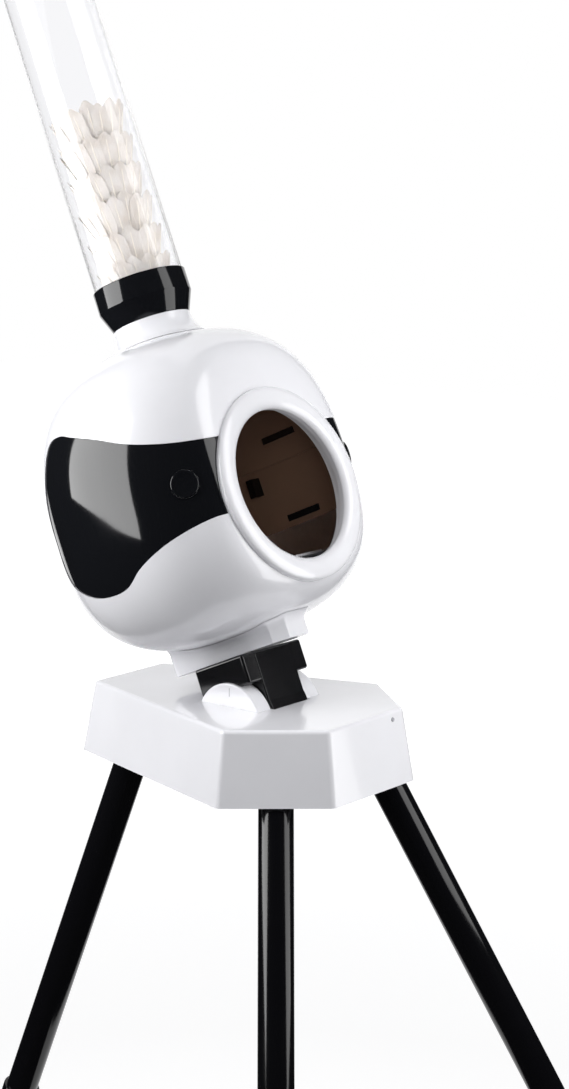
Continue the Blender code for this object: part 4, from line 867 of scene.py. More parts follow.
@dataclass(frozen=True)
class CircuitFinish(Finish):
    """Circuit board with copper runs under its green lacquer."""

    def dress(
        self, tree: bpy.types.NodeTree, shader: bpy.types.Node, place: bpy.types.NodeSocket
    ) -> None:
        """Wire the runs. See Finish.dress."""
        bricks = tree.nodes.new("ShaderNodeTexBrick")
        wire(tree, place, bricks.inputs["Vector"])
        set_inputs(bricks, {
            "Scale": 260.0, "Mortar Size": 0.06, "Mortar Smooth": 0.1, "Color1": self.colour,
            "Color2": scaled(self.colour, 0.8), "Mortar": (0.10, 0.34, 0.12),
        })
        wire(tree, bricks.outputs["Color"], shader.inputs["Base Color"])
        shader.inputs["Roughness"].default_value = self.roughness
        self.bump(tree, shader, bricks.outputs["Fac"])


WHITE = Finish(
    "white_gloss_abs", Slot.WHITE, (0.85, 0.85, 0.88), roughness=0.20, spread=0.03, coat=0.5,
    grain=260.0, relief=0.000006, dust=0.03,
)
BLACK_GLOSS = Finish(
    "black_mirror_abs", Slot.BLACK_GLOSS, (0.006, 0.0065, 0.008), roughness=0.07, spread=0.02,
    specular=0.5, grain=300.0, relief=0.000002, dust=0.01,
)
BLACK = Finish(
    "black_satin_abs", Slot.BLACK, (0.007, 0.007, 0.008), roughness=0.17, spread=0.03, specular=0.5,
    grain=1400.0, relief=0.00002, dust=0.02,
)
RUBBER = Finish(
    "black_soft_rubber", Slot.RUBBER, (0.020, 0.020, 0.021), roughness=0.78, spread=0.08,
    specular=0.3, grain=1100.0, relief=0.00005, dust=0.10,
)
CLEAR = ClearFinish(
    "clear_tube_plastic", Slot.CLEAR, (0.98, 0.98, 0.99), roughness=0.02, spread=0.06, coat=1.0,
    relief=0.000004,
)
FEATHER = FeatherFinish(
    "goose_feather", Slot.FEATHER, (0.74, 0.70, 0.66), roughness=0.60, relief=0.00006,
)
QUILL = Finish(
    "feather_quill", Slot.FEATHER, (0.80, 0.75, 0.66), roughness=0.40, grain=1200.0, relief=0.00001,
)
CORK = Finish(
    "cork_leather", Slot.FEATHER, (0.83, 0.80, 0.74), roughness=0.48, spread=0.07, grain=1300.0,
    relief=0.00004,
)
THREAD = Finish(
    "waxed_thread", Slot.FEATHER, (0.80, 0.78, 0.70), roughness=0.55, grain=2600.0, relief=0.00006,
)
BROWN = Finish(
    "brown_liner_abs", Slot.BROWN, (0.30, 0.18, 0.12), roughness=0.40, spread=0.06,
    specular=0.35, grain=700.0, relief=0.00002, dust=0.04,
)
STEEL = BrushedFinish(
    "plated_steel", Slot.STEEL, (0.60, 0.61, 0.63), roughness=0.28, spread=0.08, metallic=1.0,
    relief=0.00001,
)
PAN = BrushedFinish(
    "bare_aluminium", Slot.PAN, (0.86, 0.87, 0.90), roughness=0.42, spread=0.08, metallic=1.0,
    relief=0.00002, stretch=(30.0, 700.0, 700.0),
)
NYLON = Finish(
    "grey_nylon_gear", Slot.NYLON, (0.52, 0.52, 0.50), roughness=0.45, spread=0.06, grain=900.0,
    relief=0.00002,
)
CIRCUIT = CircuitFinish(
    "green_lacquer", Slot.CIRCUIT, (0.015, 0.15, 0.06), roughness=0.35, relief=0.00003,
)
WRAP = Finish(
    "blue_shrink_wrap", Slot.WRAP, (0.07, 0.13, 0.34), roughness=0.30, spread=0.06, grain=160.0,
    relief=0.00008,
)
LENS = Finish(
    "frosted_lens", Slot.LENS, (0.42, 0.42, 0.45), roughness=0.25, grain=1500.0, relief=0.00001,
)
LEG = Finish(
    "black_leg_paint", Slot.LEG, (0.004, 0.004, 0.005), roughness=0.13, spread=0.03, specular=0.45,
    grain=420.0, relief=0.000004, dust=0.0,
)
MARK = Finish(
    "grey_mark_ink", Slot.WHITE, (0.36, 0.36, 0.38), roughness=0.45, grain=1500.0, relief=0.000005,
)

SLOT_FINISHES = {finish.slot.value: finish for finish in (
    WHITE, BLACK_GLOSS, BLACK, RUBBER, CLEAR, CORK, BROWN, STEEL, NYLON, CIRCUIT, WRAP, LENS, LEG, PAN,
)}


# Geometry Nodes

class RepeatTree:
    """Node tree that sets copies of one object round and along the Z axis.

    The named inputs are Source, Paint, Around, Rows, Pitch, Jitter, Turn and Uneven.
    """

    def __init__(self) -> None:
        """Build the tree."""
        self.tree = bpy.data.node_groups.new("rows_of_copies", "GeometryNodeTree")
        face = self.tree.interface
        face.new_socket(name="Geometry", in_out="INPUT", socket_type="NodeSocketGeometry")
        self.keys: dict[str, str] = {}
        inputs = (
            ("Source", "NodeSocketObject"), ("Paint", "NodeSocketMaterial"), ("Around", "NodeSocketInt"),
            ("Rows", "NodeSocketInt"), ("Pitch", "NodeSocketFloat"), ("Jitter", "NodeSocketFloat"),
            ("Turn", "NodeSocketFloat"), ("Uneven", "NodeSocketFloat"),
        )
        for name, kind in inputs:
            self.keys[name] = face.new_socket(name=name, in_out="INPUT", socket_type=kind).identifier
        face.new_socket(name="Geometry", in_out="OUTPUT", socket_type="NodeSocketGeometry")
        self.wire_up()

    def node(self, kind: str, **settings: object) -> bpy.types.Node:
        """Add a node and set its properties."""
        node = self.tree.nodes.new(kind)
        for name, value in settings.items():
            setattr(node, name, value)
        return node

    def sum(self, operation: str, first: object, second: object) -> bpy.types.NodeSocket:
        """Add a Math node between two numbers or sockets and return its output."""
        return maths(self.tree, operation, first, second)

    def chance(self, seed: int, reach: bpy.types.NodeSocket) -> bpy.types.Node:
        """Add a random number between minus and plus a reach."""
        node = self.node("FunctionNodeRandomValue", data_type="FLOAT")
        node.inputs["Seed"].default_value = seed
        wire(self.tree, self.sum("MULTIPLY", reach, -1.0), node.inputs[2])
        wire(self.tree, reach, node.inputs[3])
        return node

    def wire_up(self) -> None:
        """Place and link the nodes."""
        tree = self.tree
        inside, outside = self.node("NodeGroupInput"), self.node("NodeGroupOutput")
        index = self.node("GeometryNodeInputIndex").outputs[0]
        row = self.sum("FLOOR", self.sum("DIVIDE", index, inside.outputs["Around"]), 0.0)
        line = self.node("GeometryNodeMeshLine", mode="OFFSET")
        total = self.sum("MULTIPLY", inside.outputs["Around"], inside.outputs["Rows"])
        wire(tree, total, line.inputs["Count"])
        line.inputs["Offset"].default_value = (0.0, 0.0, 0.0)
        lift = self.node("ShaderNodeCombineXYZ")
        wire(tree, self.sum("MULTIPLY", row, inside.outputs["Pitch"]), lift.inputs["Z"])
        spread = self.node("GeometryNodeSetPosition")
        wire(tree, line.outputs["Mesh"], spread.inputs["Geometry"])
        wire(tree, lift.outputs[0], spread.inputs["Offset"])
        chance = self.chance(7, inside.outputs["Jitter"])
        length = self.node("ShaderNodeCombineXYZ")
        for axis in ("X", "Y"):
            length.inputs[axis].default_value = 1.0
        uneven = self.chance(11, inside.outputs["Uneven"]).outputs[1]
        wire(tree, self.sum("ADD", uneven, 1.0), length.inputs["Z"])
        step = self.sum("DIVIDE", 2.0 * math.pi, inside.outputs["Around"])
        turn = self.sum("ADD", self.sum("MULTIPLY", index, step), chance.outputs[1])
        turn = self.sum("ADD", turn, self.sum("MULTIPLY", row, inside.outputs["Turn"]))
        angles = self.node("ShaderNodeCombineXYZ")
        wire(tree, turn, angles.inputs["Z"])
        source = self.node("GeometryNodeObjectInfo", transform_space="ORIGINAL")
        wire(tree, inside.outputs["Source"], source.inputs["Object"])
        copies = self.node("GeometryNodeInstanceOnPoints")
        wire(tree, spread.outputs["Geometry"], copies.inputs["Points"])
        wire(tree, source.outputs["Geometry"], copies.inputs["Instance"])
        wire(tree, angles.outputs[0], copies.inputs["Rotation"])
        wire(tree, length.outputs[0], copies.inputs["Scale"])
        real = self.node("GeometryNodeRealizeInstances")
        wire(tree, copies.outputs["Instances"], real.inputs["Geometry"])
        painted = self.node("GeometryNodeSetMaterial")
        wire(tree, real.outputs["Geometry"], painted.inputs["Geometry"])
        wire(tree, inside.outputs["Paint"], painted.inputs["Material"])
        wire(tree, painted.outputs["Geometry"], outside.inputs["Geometry"])

    def repeat(
        self, name: str, source: bpy.types.Object, finish: Finish, around: int, rows: int = 1,
        pitch: float = 0.0, jitter: float = 0.0, turn: float = 0.0, uneven: float = 0.0,
    ) -> bpy.types.Object:
        """Set copies of an object round the Z axis, in rows along it.

        Args:
            name: Name of the result.
            source: Object to copy, used up by the call.
            finish: Finish of the copies.
            around: Copies in one row.
            rows: Number of rows.
            pitch: Distance between rows.
            jitter: Largest random turn of a copy, in radians.
            turn: Turn of each row against the last, in radians.
            uneven: Largest random change of a copy's length, as a share of it.

        Returns:
            One plain mesh object that holds all copies.
        """
        holder = linked(name, bpy.data.meshes.new(name))
        modifier = holder.modifiers.new("copies", "NODES")
        modifier.node_group = self.tree
        values = {
            "Source": source, "Paint": finish.material(), "Around": around, "Rows": rows,
            "Pitch": pitch, "Jitter": jitter, "Turn": turn, "Uneven": uneven,
        }
        for key, value in values.items():
            modifier[self.keys[key]] = value
        freeze(holder)
        bpy.data.objects.remove(source, do_unlink=True)
        return holder


# Head form

@dataclass
class HeadForm:
    """Rounded helmet form that the shells, visors, liner and pan share.

    Attributes:
        forward: How far the form's centre lies in front of the pivot.
        rise: Height of its centre.
        half_width: Half width.
        front: Reach to the front.
        rear: Reach to the rear.
        up: Reach upwards.
        down: Reach downwards.
        plan_power: Power of the plan's curve.
        side_power: Power of the side's curve.
        face: Depth of the flat face round the port.
        blend: Width of the change to that face.
    """

    forward: float = 0.0165
    rise: float = 0.1775
    half_width: float = 0.1230
    front: float = 0.1120
    rear: float = 0.1230
    up: float = 0.1400
    down: float = 0.1120
    plan_power: float = 2.3
    side_power: float = 2.8
    face: float = 0.1055
    blend: float = 0.010

    def semi_axes(self, y: float, z: float, inset: float) -> tuple[float, float, float]:
        """Return the half sizes on the side that y and z point to."""
        along = self.front if y < 0.0 else self.rear
        upright = self.up if z > 0.0 else self.down
        return self.half_width - inset, along - inset, upright - inset

    def flattened(self, depth: float, inset: float) -> float:
        """Return a forward depth after the flat face is blended in."""
        limit = self.face - inset
        share = max(self.blend - abs(depth - limit), 0.0) / self.blend
        return min(depth, limit) - share * share * self.blend * 0.25

    def point(self, direction: Sequence[float], inset: float = 0.0) -> Vector:
        """Return the form's point in a direction from its centre.

        Args:
            direction: Unit direction.
            inset: How far the form is drawn in.

        Returns:
            The point in head coordinates.
        """
        x, y, z = direction
        across, along, upright = self.semi_axes(y, z, inset)
        plan = abs(x / across) ** self.plan_power + abs(y / along) ** self.plan_power
        total = plan ** (self.side_power / self.plan_power) + abs(z / upright) ** self.side_power
        reach = total ** (-1.0 / self.side_power)
        depth = reach * y - self.forward
        if depth < 0.0:
            depth = -self.flattened(-depth, inset)
        return Vector((reach * x, depth, reach * z + self.rise))

    def unflattened(self, depth: float, inset: float) -> tuple[float, float]:
        """Undo the flat face.

        Args:
            depth: Forward depth on the finished form.
            inset: How far the form is drawn in.

        Returns:
            The depth before the face was blended in, and the blend's slope there.
        """
        limit = self.face - inset
        if depth <= limit - self.blend:
            return depth, 1.0
        low, high = limit - self.blend, limit + self.blend
        for _ in range(24):
            middle = 0.5 * (low + high)
            if self.flattened(middle, inset) < depth:
                low = middle
            else:
                high = middle
        step = 1e-5
        ahead = self.flattened(low + step, inset)
        return low, max((ahead - self.flattened(low - step, inset)) / (2.0 * step), 0.0)

    def normal(self, place: Vector, inset: float = 0.0) -> Vector:
        """Return the outward normal near a point of the form.

        Args:
            place: Point in head coordinates.
            inset: How far the form is drawn in.

        Returns:
            Unit normal.
        """
        x, depth, z = place
        slope = 1.0
        if depth < 0.0:
            before, slope = self.unflattened(-depth, inset)
            depth = -before
        y, z = depth + self.forward, z - self.rise
        across, along, upright = self.semi_axes(y, z, inset)
        power, side = self.plan_power, self.side_power
        plan = abs(x / across) ** power + abs(y / along) ** power
        gain = side * plan ** (side / power - 1.0) if plan > 1e-12 else 0.0
        normal = Vector((
            gain * math.copysign(abs(x / across) ** (power - 1.0), x) / across * slope,
            gain * math.copysign(abs(y / along) ** (power - 1.0), y) / along,
            side * math.copysign(abs(z / upright) ** (side - 1.0), z) / upright * slope,
        ))
        return normal.normalized()

    def mesh(self, name: str, inset: float = 0.0, segments: int = 144, rings: int = 72) -> bpy.types.Object:
        """Make the closed form.

        Args:
            name: The object's name.
            inset: How far the form is drawn in.
            segments: Steps round the form.
            rings: Steps from bottom to top.

        Returns:
            The solid.
        """
        bm = bmesh.new()
        levels = []
        for i in range(1, rings):
            rise = math.pi * i / rings - 0.5 * math.pi
            level = []
            for j in range(segments):
                turn = 2.0 * math.pi * j / segments
                flat = math.cos(rise)
                direction = (flat * math.cos(turn), flat * math.sin(turn), math.sin(rise))
                level.append(bm.verts.new(self.point(direction, inset)))
            levels.append(level)
        bottom = bm.verts.new(self.point((0.0, 0.0, -1.0), inset))
        top = bm.verts.new(self.point((0.0, 0.0, 1.0), inset))
        for j in range(segments):
            k = (j + 1) % segments
            bm.faces.new((bottom, levels[0][k], levels[0][j]))
            bm.faces.new((top, levels[-1][j], levels[-1][k]))
            for lower, upper in zip(levels, levels[1:]):
                bm.faces.new((lower[j], lower[k], upper[k], upper[j]))
        return mesh_object(name, bm)

    def core(self, name: str, inset: float) -> bpy.types.Object:
        """Return the form drawn in, with fewer steps, for faces inside the head."""
        return self.mesh(name, inset, 96, 48)

    def seat(self) -> bpy.types.Object:
        """Return the form grown by the gap, with more steps, for pieces cut to sit on it."""
        return self.mesh("seat", -GAP, 192, 96)

    def underside(self, x: float, y: float) -> float:
        """Return the height of the form's lower surface over a point of the plan."""
        across, along, upright = self.semi_axes(y + self.forward, -1.0, 0.0)
        plan = abs(x / across) ** self.plan_power + abs((y + self.forward) / along) ** self.plan_power
        share = 1.0 - plan ** (self.side_power / self.plan_power)
        return self.rise - upright * share ** (1.0 / self.side_power)

    def side_point(self, y: float, z: float, side: float, inset: float = 0.0) -> Vector:
        """Return the point of the form's side at a depth and a height."""
        local_y, local_z = y + self.forward, z - self.rise
        across, along, upright = self.semi_axes(local_y, local_z, inset)
        plan = (1.0 - abs(local_z / upright) ** self.side_power) ** (self.plan_power / self.side_power)
        x = across * (plan - abs(local_y / along) ** self.plan_power) ** (1.0 / self.plan_power)
        return Vector((side * x, y, z))

    def dress_normals(self, item: bpy.types.Object, insets: Sequence[float]) -> bpy.types.Object:
        """Give faces that lie on the form, or on a drawn-in copy, its true normals.

        Args:
            item: Cut solid in head coordinates.
            insets: Insets of the forms that its faces may lie on.

        Returns:
            The same object.
        """
        shade(item, 32.0)
        mesh = item.data
        normals = [Vector(corner.vector) for corner in mesh.corner_normals]
        for face in mesh.polygons:
            centre = Vector(face.center)
            for inset in insets:
                true = self.normal(centre, inset)
                facing = true.dot(face.normal)
                if abs(facing) < 0.9 or abs(self.height(centre, inset)) > 0.0006:
                    continue
                sign = 1.0 if facing > 0.0 else -1.0
                for loop in face.loop_indices:
                    corner = mesh.vertices[mesh.loops[loop].vertex_index].co
                    normals[loop] = sign * self.normal(corner, inset)
                break
        mesh.normals_split_custom_set([tuple(normal) for normal in normals])
        return item

    def height(self, place: Vector, inset: float) -> float:
        """Return how far a point stands off the form, roughly and along its direction."""
        local = place - Vector((0.0, -self.forward, self.rise))
        surface = self.point(local.normalized(), inset)
        offset = place - surface
        return offset.dot(self.normal(surface, inset))


FORM = HeadForm()


@dataclass
class Shells:
    """White head in two shells, with visors, their caps and the recess they lie in.

    Attributes:
        wall: Thickness of the shell.
        seam_depth: Depth of the seam between the shells.
        port_rise: Height of the launch port.
        port_hole: Radius of the shell's port hole.
        neck_hole: Radius of the neck's hole.
        visor_drop: How far the visor lies under the shell's surface.
        visor_thickness: Thickness of the visor.
        visor_inner: Distance from the middle plane beyond which the visors may reach.
        ring_radius: Outer radius of the port ring, which the visors stop at.
        cap_radius: Radius of a visor cap.
        cap_at: Depth and rise of a cap.
        cap_edge: Outline of a cap's edge, as distances in from its radius and heights.
        cap_middle: Height of the cap's back and of its dished front, on its axis.
        outline: Visor outline as depths and rises.
    """

    wall: float = 0.0045
    seam_depth: float = 0.0500
    port_rise: float = 0.1680
    port_hole: float = 0.0701
    neck_hole: float = 0.0345
    visor_drop: float = 0.0007
    visor_thickness: float = 0.0019
    visor_inner: float = 0.0225
    ring_radius: float = 0.0805
    cap_radius: float = 0.0110
    cap_at: Point2 = (-0.0883, 0.0082)
    cap_edge: tuple[Point2, ...] = (
        (0.0, -0.0022), (0.0, 0.0004), (0.0002, 0.0009), (0.0007, 0.0012), (0.0018, 0.0012),
        (0.0026, 0.0009), (0.0050, 0.0007),
    )
    cap_middle: Point2 = (-0.0022, 0.0006)
    outline: tuple[Point2, ...] = (
        (-0.1300, 0.0335), (-0.1050, 0.0375), (-0.0837, 0.0425), (-0.0561, 0.0520), (-0.0264, 0.0656),
        (0.0000, 0.0755), (0.0180, 0.0815), (0.0368, 0.0785), (0.0540, 0.0555), (0.0700, 0.0265),
        (0.0765, 0.0005), (0.0640, -0.0295), (0.0363, -0.0470), (0.0120, -0.0535), (-0.0119, -0.0526),
        (-0.0324, -0.0425), (-0.0522, -0.0348), (-0.0736, -0.0284), (-0.1000, -0.0230),
        (-0.1300, -0.0215),
    )

    def port_cutter(self, radius: float, back: float = -0.05) -> bpy.types.Object:
        """Return a cylinder through the launch port, from in front of the head to a depth."""
        ends = ((0.0, -REACH, self.port_rise), (0.0, back, self.port_rise))
        return rod("port_cutter", *ends, radius, 128)

    def visor_prism(self, name: str, side: float, grow: float = 0.0) -> bpy.types.Object:
        """Push the visor's outline along X through one side of the head.

        Args:
            name: The object's name.
            side: -1 for the left side, 1 for the right.
            grow: How far the outline is grown.

        Returns:
            The solid.
        """
        points = [(y, FORM.rise + rise) for y, rise in self.outline]
        outline = grown(smooth_outline(points, 8), -grow)
        body = prism(name, outline, side * self.visor_inner, side * REACH)
        return boolean(body, self.port_cutter(self.ring_radius + GAP - grow))

    def build(self) -> None:
        """Build the shells, visors and caps."""
        shell = FORM.mesh("head_front_shell", 0.0)
        boolean(shell, FORM.core("cavity", self.wall))
        for side in (-1.0, 1.0):
            recess = self.visor_prism("recess", side, GAP)
            floor = self.visor_drop + self.visor_thickness + GAP
            boolean(recess, FORM.core("core", floor))
            boolean(shell, recess)
        boolean(shell, self.port_cutter(self.port_hole))
        ends = ((0.0, -FORM.forward, FORM.rise), (0.0, -FORM.forward, FORM.rise + REACH))
        boolean(shell, rod("neck_hole", *ends, self.neck_hole, 96))
        rear = linked("head_rear_shell", shell.data.copy())
        seam = 0.5 * GAP
        wide = 2.0 * REACH
        boolean(shell, block("behind", (-wide, self.seam_depth - seam, -wide), (wide, wide, wide)))
        boolean(rear, block("before", (-wide, -wide, -wide), (wide, self.seam_depth + seam, wide)))
        for item, node in ((shell, "front_shell"), (rear, "rear_shell")):
            FORM.dress_normals(item, (0.0, self.wall, self.visor_drop + self.visor_thickness + GAP))
            publish(item, Body.HEAD, WHITE, HEAD_PLACE, (node,))
        for side, word in SIDES:
            self.build_visor(side, word)

    def build_visor(self, side: float, word: str) -> None:
        """Build one visor and its cap.

        Args:
            side: -1 for the left side, 1 for the right.
            word: Name of the side.
        """
        visor = self.visor_prism(f"visor_shield_{word}", side)
        boolean(visor, FORM.mesh("skin", self.visor_drop), "INTERSECT")
        boolean(visor, FORM.core("core", self.visor_drop + self.visor_thickness))
        y, z = self.cap_at[0], FORM.rise + self.cap_at[1]
        centre = FORM.side_point(y, z, side)
        normal = FORM.normal(centre)
        ends = (centre - normal * CUT, centre + normal * CUT)
        boolean(visor, rod("cap_hole", *ends, self.cap_radius + GAP, 64))
        FORM.dress_normals(visor, (self.visor_drop, self.visor_drop + self.visor_thickness))
        publish(visor, Body.HEAD, BLACK_GLOSS, HEAD_PLACE, (f"visor_{word}",))
        back, front = self.cap_middle
        edge = [(self.cap_radius - inset, height) for inset, height in self.cap_edge]
        profile = [(0.0, back), *edge, (0.0, front)]
        cap = shade(turned(f"visor_button_{word}", profile, 72), 60.0)
        cap.data.transform(Matrix.Translation(centre) @ aim(normal))
        publish(cap, Body.HEAD, BLACK_GLOSS, HEAD_PLACE, (f"visor_cap_{word}",))


@dataclass
class PortRing:
    """White ring round the launch port.

    Attributes:
        rise: Height of the port.
        radius: Radius of its bore.
        barrel_wall: Wall of the barrel that reaches into the head.
        barrel_depth: Depth of that barrel.
        rim: Outer radius of the ring.
        lip: Depth of the ring's front.
        crown: Radius where the roll stands highest.
        throat: Depth over which the roll turns into the bore.
        skirt: Depth of the roll's outer side behind the port's face.
        roll_rise: How far in front of the shell the roll begins.
        roll_power: Power of the roll's outer curve.
        bore_end: Depth where the roll's bore ends.
        step: Width and further depth of the step behind that bore.
        roll_end: Depth where the roll ends on the barrel.
        tip_wall: Wall at the barrel's end.
        overlap: How far the barrel reaches into the roll.
        inset: How far the barrel's bore lies outside the roll's bore.
        taper: Depths between which the barrel's wall grows thin.
    """

    rise: float = 0.1680
    radius: float = 0.0618
    barrel_wall: float = 0.0080
    barrel_depth: float = 0.0130
    rim: float = 0.0805
    lip: float = 0.1105
    crown: float = 0.0700
    throat: float = 0.0062
    skirt: float = 0.0080
    roll_rise: float = 0.0006
    roll_power: float = 0.8
    bore_end: float = 0.0030
    step: Point2 = (0.0008, 0.0014)
    roll_end: float = 0.0060
    tip_wall: float = 0.0026
    overlap: float = 0.0010
    inset: float = 0.0006
    taper: Point2 = (0.0042, 0.0064)

    def placed(self, name: str, profile: Sequence[Point2]) -> bpy.types.Object:
        """Turn a profile about the port's axis, with its heights running to the front."""
        item = turned(name, profile, 192)
        turn = Matrix.Rotation(math.radians(90.0), 4, "X")
        item.data.transform(Matrix.Translation((0.0, 0.0, self.rise)) @ turn)
        return item

    def build(self) -> None:
        """Build the ring: a full roll that sits on the shell, and its barrel in the port."""
        back = FORM.face + GAP
        barrel = self.radius + self.barrel_wall
        ring = self.placed("launch_port_ring", self.roll(back, barrel))
        boolean(ring, FORM.seat())
        bore, tip = self.radius + self.inset, barrel - self.tip_wall
        front, end = back + self.overlap, back - self.barrel_depth
        profile = [(tip, end), (barrel, end), (barrel, front), (bore, front), (bore, back - self.taper[0])]
        profile.append((tip, back - self.taper[1]))
        boolean(ring, self.placed("sleeve", profile), "UNION")
        publish(shade(ring, 38.0), Body.HEAD, WHITE, HEAD_PLACE, ("port_ring",))

    def roll(self, back: float, barrel: float) -> list[Point2]:
        """Return the outline of the roll.

        Args:
            back: Height of the port's face.
            barrel: Outer radius of the barrel.

        Returns:
            Points as (radius, height).
        """
        skirt, start = back - self.skirt, back + self.roll_rise
        outer, inner = self.rim - self.crown, self.crown - self.radius
        turns = quarter_turns(14)
        points = [(barrel, skirt), (self.rim, skirt), (self.rim, start)]
        for turn in turns:
            rise = (self.lip - start) * math.sin(turn) ** self.roll_power
            points.append((self.crown + outer * math.cos(turn), start + rise))
        for turn in turns:
            fall = self.throat * (1.0 - math.cos(turn))
            points.append((self.crown - inner * math.sin(turn), self.lip - fall))
        points += [(self.radius, back - self.bore_end)]
        points += [(self.radius + self.step[0], back - self.bore_end - self.step[1])]
        return points + [(barrel, back - self.roll_end)]


@dataclass
class Magazine:
    """Neck, collar and clear tube, all on the tube's axis.

    Attributes:
        bore: Radius of the bore that shuttlecocks pass.
        neck_bottom: Height of the neck barrel's foot.
        neck_seat: Height where the neck meets the shell.
        neck_top: Height of the neck's top.
        barrel_radius: Outer radius of the neck's barrel.
        seat_radius: Radius of the neck's flared foot.
        neck_top_radius: Outer radius at the neck's top.
        collar_radius: Outer radius of the collar.
        cone_top: Height where the collar's cone ends.
        collar_top: Height of the collar's top.
        tube_radius: Outer radius of the tube.
        tube_wall: Wall of the tube.
        tube_length: Length of the tube.
        sweep_drop: How far under the seat the neck's sweep begins.
        sweep_powers: Powers of the sweep's radius and height.
        barrel_overlap: How far the barrel reaches into the swept part.
    """

    bore: float = 0.0306
    neck_bottom: float = 0.3045
    neck_seat: float = 0.3168
    neck_top: float = 0.3350
    barrel_radius: float = 0.0342
    seat_radius: float = 0.0415
    neck_top_radius: float = 0.0327
    collar_radius: float = 0.0395
    cone_top: float = 0.3523
    collar_top: float = 0.3710
    tube_radius: float = 0.0375
    tube_wall: float = 0.0018
    tube_length: float = 0.385
    sweep_drop: float = 0.0012
    sweep_powers: Point2 = (2.2, 1.15)
    barrel_overlap: float = 0.0010

    def place(self) -> Matrix:
        """Return the tube axis's place in the shared frame."""
        return HEAD_PLACE @ Matrix.Translation((0.0, -FORM.forward, 0.0))

    def build(self) -> None:
        """Build the neck, the collar and the tube."""
        self.build_neck()
        self.build_collar()
        self.build_tube()

    def build_neck(self) -> None:
        """Build the neck: a sweep that sits on the shell, and its barrel in the hole."""
        steps = 16
        foot = self.neck_seat - self.sweep_drop
        profile = [(self.bore, self.neck_top), (self.bore, self.neck_bottom)]
        profile += [(self.seat_radius, self.neck_bottom), (self.seat_radius, foot - 0.0004)]
        flare = self.seat_radius - self.neck_top_radius
        outwards, upwards = self.sweep_powers
        for i in range(steps + 1):
            t = i / steps
            radius = self.neck_top_radius + flare * (1.0 - t) ** outwards
            profile.append((radius, foot + (self.neck_top - foot) * t ** upwards))
        neck = turned("flared_neck", profile, 128)
        seat = FORM.seat()
        seat.data.transform(Matrix.Translation((0.0, FORM.forward, 0.0)))
        boolean(neck, seat)
        top, bottom, outer = self.neck_seat + self.barrel_overlap, self.neck_bottom, self.barrel_radius
        profile = [(self.bore, top), (self.bore, bottom), (outer, bottom), (outer, top)]
        boolean(neck, turned("barrel", profile, 128), "UNION")
        publish(shade(neck, 40.0), Body.HEAD, WHITE, self.place(), ("neck",))

    def build_collar(self) -> None:
        """Build the collar: a cone, a band over it and a socket for the tube."""
        bottom = self.neck_top + GAP
        socket = self.tube_radius + GAP
        corners = [
            (self.bore, bottom, 0.0), (self.neck_top_radius, bottom, 0.0003),
            (self.collar_radius, self.cone_top, 0.0030), (self.collar_radius, self.collar_top, 0.0008),
            (socket, self.collar_top, 0.0003), (socket, self.cone_top, 0.0), (self.bore, self.cone_top, 0.0),
        ]
        collar = shade(turned("gloss_collar", rounded(corners, 5), 128), 40.0)
        publish(collar, Body.HEAD, BLACK_GLOSS, self.place(), ("tube_collar",))

    def build_tube(self) -> None:
        """Build the clear tube, which stands in the collar's socket."""
        foot = self.cone_top + GAP
        inner = self.tube_radius - self.tube_wall
        mouth = foot + self.tube_length
        corners = [
            (inner, foot, 0.0004), (self.tube_radius, foot, 0.0004), (self.tube_radius, mouth, 0.0006),
            (inner, mouth, 0.0006),
        ]
        tube = shade(turned("clear_magazine_tube", rounded(corners, 3), 128), 40.0)
        publish(tube, Body.TUBE, CLEAR, self.place(), ("magazine_tube",))


